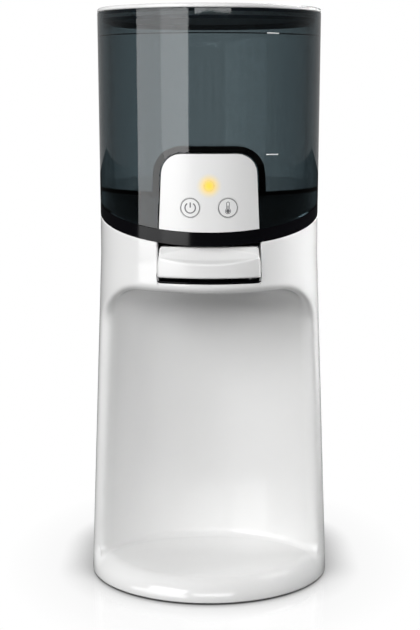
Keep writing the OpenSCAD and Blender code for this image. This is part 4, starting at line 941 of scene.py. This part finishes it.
class WARMER_OT_stage(WarmerOperator, Operator):
    """Makes the camera, the floor, the soft lamps and the pale surroundings"""

    bl_idname = "warmer.stage"
    bl_label = "Studio"

    def execute(self, context):
        s = context.scene.warmer_stage
        lens = bpy.data.cameras.new("studio_camera")
        lens.lens, lens.sensor_width = s.camera_lens, 36.0
        camera = bpy.data.objects.new("studio_camera", lens)
        camera.location = (s.camera_x, s.camera_y, s.camera_z)
        camera.rotation_euler = (s.camera_pitch, 0, 0)
        context.scene.collection.objects.link(camera)
        context.scene.camera = camera
        self.floor()
        self.lamps(context)
        self.surroundings(context)
        context.scene.view_settings.view_transform = "Standard"
        return {"FINISHED"}

    def floor(self):
        """A wide floor. To the camera it is white, with a close shadow under the object and a faint
        mirror near it. Other rays meet a dull grey."""
        reach, count = 4.0, 9
        line = np.linspace(-reach, reach, count)
        x, y = np.meshgrid(line, line)
        points = stack(x, y, np.zeros_like(x))
        floor = mesh_piece("studio_floor", points, grid_faces(count, count))
        f = new_finish("studio_floor")
        shadow_reach, shadow_power = 22 * MM, 1.2
        mirror_plan, mirror_end, mirror_share = (12, 9, 1), 1.5, 0.2
        sky = f.node("AmbientOcclusion", {"Distance": shadow_reach}, out=1, samples=16)
        white = f.node("Emission", {"Color": WHITE, "Strength": sky**shadow_power})
        gloss = f.node("BsdfAnisotropic", {"Color": WHITE, "Roughness": 0.08})
        plain = f.node("BsdfDiffuse", {"Color": (0.12, 0.12, 0.12, 1)})
        away = f.node("VectorMath", {0: f.place(mirror_plan)}, out=1, operation="LENGTH")
        share = (mirror_end - away).clamp() * mirror_share
        mirror = f.node("MixShader", {0: share, 1: white, 2: gloss})
        seen = f.node("MixShader", {0: f.seen(), 1: plain, 2: mirror})
        f.node("OutputMaterial", {"Surface": seen})
        dress(floor, f.owner)

    def lamps(self, context):
        """Soft rectangular lamps: name, place, size, radiance, aim, spread in degrees, and whether
        diffuse, glossy and transmitted rays see the lamp."""
        both, matt, gloss = (True, True, True), (True, False, False), (False, True, True)
        foot, middle = (0.0, 0.0, 0.1), (0.0, 0.0, 0.23)
        lamps = (
            ("softbox_key", (-0.95, -1.05, 0.84), (1.0, 0.8), 6.9, foot, 180, both),
            ("softbox_fill", (0.1, -1.5, 0.62), (1.0, 0.5), 5.3, foot, 180, both),
            ("softbox_top", (0.0, -0.2, 1.3), (1.2, 0.9), 0.3, foot, 180, both),
            ("softbox_right", (1.25, 0.6, 0.47), (0.8, 0.24), 2.8, (0.0, 0.0, 0.28), 26, matt),
            ("softbox_strip", (0.95, -0.45, 0.14), (0.3, 0.2), 0.26, (0.0, 0.0, 0.09), 20, matt),
            ("softbox_left", (-1.3, 0.45, 0.85), (0.9, 0.7), 3.0, foot, 180, matt),
            ("card_left", (-1.06, -0.94, 0.23), (1.5, 0.42), 4.2, middle, 180, gloss),
            ("card_near", (-0.78, -1.17, 0.23), (0.72, 0.42), 1.6, middle, 180, gloss),
            ("card_right", (0.55, 0.55, 1.1), (0.5, 0.4), 5.0, (0.0, 0.0, 0.03), 180, gloss),
        )
        for name, spot, size, radiance, aim, spread, rays in lamps:
            data = bpy.data.lights.new(name, "AREA")
            data.shape, data.size, data.size_y = "RECTANGLE", *size
            data.spread = math.radians(spread)
            data.energy = radiance * math.pi * size[0] * size[1]
            lamp = bpy.data.objects.new(name, data)
            lamp.location = spot
            lamp.visible_diffuse, lamp.visible_glossy, lamp.visible_transmission = rays
            toward = np.array(aim) - np.array(spot)
            pitch = math.atan2(math.hypot(toward[0], toward[1]), -toward[2])
            lamp.rotation_euler = (pitch, 0, math.atan2(-toward[0], toward[1]))
            context.scene.collection.objects.link(lamp)

    def surroundings(self, context):
        """White to the camera. To other rays a dim room that is paler behind the object."""
        dim, paler, slope, offset = 0.08, 0.3, 0.8, 0.1
        world = bpy.data.worlds.new("studio_world")
        context.scene.world = world
        f = Finish(world)
        back = f.node("SeparateXYZ", {0: f.node("TexCoord")}, out=1)
        room = dim + (back * slope + offset).clamp() * paler
        strength = room + f.seen() * (1 - room)
        lit = f.node("Background", {"Color": WHITE, "Strength": strength})
        f.node("OutputWorld", {"Surface": lit})


class WARMER_OT_body(WarmerOperator, Operator):
    """Makes the white front housing with its rounded bottle bay"""

    bl_idname = "warmer.body"
    bl_label = "Body"

    def execute(self, context):
        p = context.scene.warmer_finish
        white = moulded("white_gloss", p.white, rough=0.12, spread=0.04)
        housing = build_body(context.scene.warmer_body)
        seat(dress(housing, white), "body", "white_body", "front_housing")
        paint(white, "rear_cover")
        return {"FINISHED"}


class WARMER_OT_lever(WarmerOperator, Operator):
    """Makes the dispense lever with its thumb ledge"""

    bl_idname = "warmer.lever"
    bl_label = "Lever"

    def execute(self, context):
        p = context.scene.warmer_finish
        white = moulded("lever_white", p.white, rough=0.2, spread=0.05, coat=0.2)
        pad = build_lever(context.scene.warmer_body, context.scene.warmer_fittings)
        seat(dress(pad, white), "lever", "white_trim", "dispense_lever")
        return {"FINISHED"}


class WARMER_OT_springs(WarmerOperator, Operator):
    """Makes the two valves' springs in their nodes' places, each between the part that holds it and
    the part it pushes; they are not seated on a body
    """

    bl_idname = "warmer.springs"
    bl_label = "Valve springs"

    def execute(self, context):
        wire = context.scene.warmer_fittings.spring_wire
        steel = brushed("coil_steel", (0.6, 0.61, 0.62), along=(1, 0, 0), rough=0.25)
        springs = (("valve_coil", "valve_spring", 3, "body", "stem"),
                   ("tank_valve_coil", "tank_valve_spring", 4, "tank", "tank_valve"))
        for name, node, turns, holder, pushed in springs:
            spring = dress(build_spring(name, node, turns, wire), steel)
            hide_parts(node)
            lo, hi = low(node), high(node)
            tuple(hi)
            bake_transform(spring)
        return {"FINISHED"}


class WARMER_OT_lid(WarmerOperator, Operator):
    """Makes the lid and finishes its plug"""

    bl_idname = "warmer.lid"
    bl_label = "Lid"

    def execute(self, context):
        p = context.scene.warmer_finish
        white = moulded("lid_white", p.white, rough=0.22, spread=0.05, coat=0.2)
        lid = build_lid(context.scene.warmer_body, context.scene.warmer_fittings)
        seat(dress(lid, white), "lid", "white_trim", "lid_cap")
        paint(moulded("plug_dark", (0.016, 0.022, 0.034), rough=0.6, specular=0.25), "lid_plug")
        return {"FINISHED"}


class WARMER_OT_signs(WarmerOperator, Operator):
    """Prints the signs on the buttons and finishes the panel with its status light"""

    bl_idname = "warmer.signs"
    bl_label = "Panel and signs"

    def execute(self, context):
        p = context.scene.warmer_finish
        ink = moulded("sign_ink", p.print_grey, rough=0.5)
        for piece, name in build_signs(context.scene.warmer_body, context.scene.warmer_fittings):
            seat(dress(piece, ink), name, "black_matte")
        lo, hi = low("status_lens"), high("status_lens")
        spot = ((lo[0] + hi[0]) / 2, lo[1], (lo[2] + hi[2]) / 2)
        panel = lit_panel("panel_white", p, spot, reach=7.5 * MM)
        paint(panel, "control_panel status_lens power_button temperature_button")
        return {"FINISHED"}


class WARMER_OT_tank(WarmerOperator, Operator):
    """Finishes the smoky tank and prints its level marks"""

    bl_idname = "warmer.tank"
    bl_label = "Tank"

    def execute(self, context):
        paint(smoky("smoky_wall", context.scene.warmer_finish), "water_tank")
        marks, line = build_marks(context.scene.warmer_body, context.scene.warmer_fittings)
        ink = moulded("mark_white", (0.85, 0.86, 0.86), rough=0.5)
        for piece in marks:
            seat(dress(piece, ink), "tank", "white_trim")
        dark = moulded("line_dark", (0.01, 0.014, 0.018), rough=0.4)
        seat(dress(line, dark), "tank", "dark_plug")
        return {"FINISHED"}


class WARMER_OT_finishes(WarmerOperator, Operator):
    """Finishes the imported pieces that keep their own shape"""

    bl_idname = "warmer.finishes"
    bl_label = "Finishes"

    def execute(self, context):
        black = context.scene.warmer_finish.black
        paint(moulded("black_gloss", black, rough=0.12, spread=0.04, specular=0.15),
              "tank_dock lever_bezel")
        paint(moulded("black_matt", (0.012, 0.012, 0.013), rough=0.42, grain=1500.0, depth=0.08),
              "console_housing power_inlet relay")
        paint(moulded("base_white", (0.7, 0.7, 0.69), rough=0.45, grain=1200.0, depth=0.08),
              "base_plate")
        paint(moulded("valve_grey", (0.09, 0.094, 0.1), rough=0.42, depth=0.05),
              "inlet_cup tank_valve_cage valve_cap thermal_cutout push_switches")
        paint(moulded("valve_pale", (0.62, 0.62, 0.61), rough=0.38, depth=0.05),
              "tank_valve_poppet valve_body valve_stem spout_nozzle vessel_cap")
        paint(moulded("capacitor_blue", (0.01, 0.016, 0.09), rough=0.3), "capacitor")
        paint(moulded("led_amber", (0.8, 0.6, 0.2), rough=0.2), "status_led")
        paint(soft_rubber("foot_rubber", (0.014, 0.014, 0.015)), "rubber_feet")
        paint(soft_rubber("grey_silicone", (0.22, 0.22, 0.22)),
              "lid_gasket tank_valve_seal valve_disc vessel_gasket")
        paint(soft_rubber("hose_silicone", (0.7, 0.7, 0.68)), "inlet_hose outlet_hose")
        paint(soft_rubber("cable_grey", (0.05, 0.05, 0.052)), "panel_cable mains_cable")
        paint(soft_rubber("cable_red", (0.22, 0.01, 0.008)), "heater_cable")
        paint(brushed("screw_steel", (0.55, 0.56, 0.57), along=(0, 0, 1)),
              "base_screws dock_screws cup_screws panel_screws "
              "bezel_screws valve_screws vessel_screws board_screws")
        paint(brushed("spring_steel", (0.6, 0.61, 0.62), along=(1, 0, 0), rough=0.25), "lever_pin")
        paint(brushed("vessel_steel", (0.58, 0.59, 0.6), along=(1, 1, 0)),
              "vessel_pot vessel_strap heating_element temperature_sensor")
        paint(brushed("contact_brass", (0.66, 0.48, 0.2), along=(0, 1, 0), rough=0.28),
              "inlet_contacts")
        paint(circuit("board_green", (0.012, 0.11, 0.05)), "control_board power_board")
        paint(wound("winding_yellow", (0.55, 0.36, 0.04)), "transformer")
        return {"FINISHED"}


class WARMER_PT_panel(Panel):
    """Lists the warmer's operators and sizes"""

    bl_idname = "WARMER_PT_panel"
    bl_label = "Warmer"
    bl_space_type = "VIEW_3D"
    bl_region_type = "UI"
    bl_category = "Warmer"

    def draw(self, context):
        for step in STEPS:
            self.layout.operator(step.bl_idname)
        for name in GROUPS:
            group = getattr(context.scene, name)
            box = self.layout.box()
            for key in group.__annotations__:
                box.prop(group, key)


STEPS = (
    WARMER_OT_stage, WARMER_OT_finishes, WARMER_OT_body, WARMER_OT_tank,
    WARMER_OT_lid, WARMER_OT_signs, WARMER_OT_lever, WARMER_OT_springs,
)
GROUPS = {
    "warmer_body": WarmerBody, "warmer_fittings": WarmerFittings,
    "warmer_finish": WarmerFinish, "warmer_stage": WarmerStage,
}
CLASSES = (*GROUPS.values(), *STEPS, WARMER_PT_panel)


def register():
    for kind in CLASSES:
        bpy.utils.register_class(kind)
    for name, group in GROUPS.items():
        setattr(bpy.types.Scene, name, PointerProperty(type=group))


def unregister():
    for name in GROUPS:
        delattr(bpy.types.Scene, name)
    for kind in reversed(CLASSES):
        bpy.utils.unregister_class(kind)


def main():
    """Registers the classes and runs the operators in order."""
    register()
    for step in STEPS:
        section, name = step.bl_idname.split(".")
        getattr(getattr(bpy.ops, section), name)()


if __name__ == "__main__":
    main()
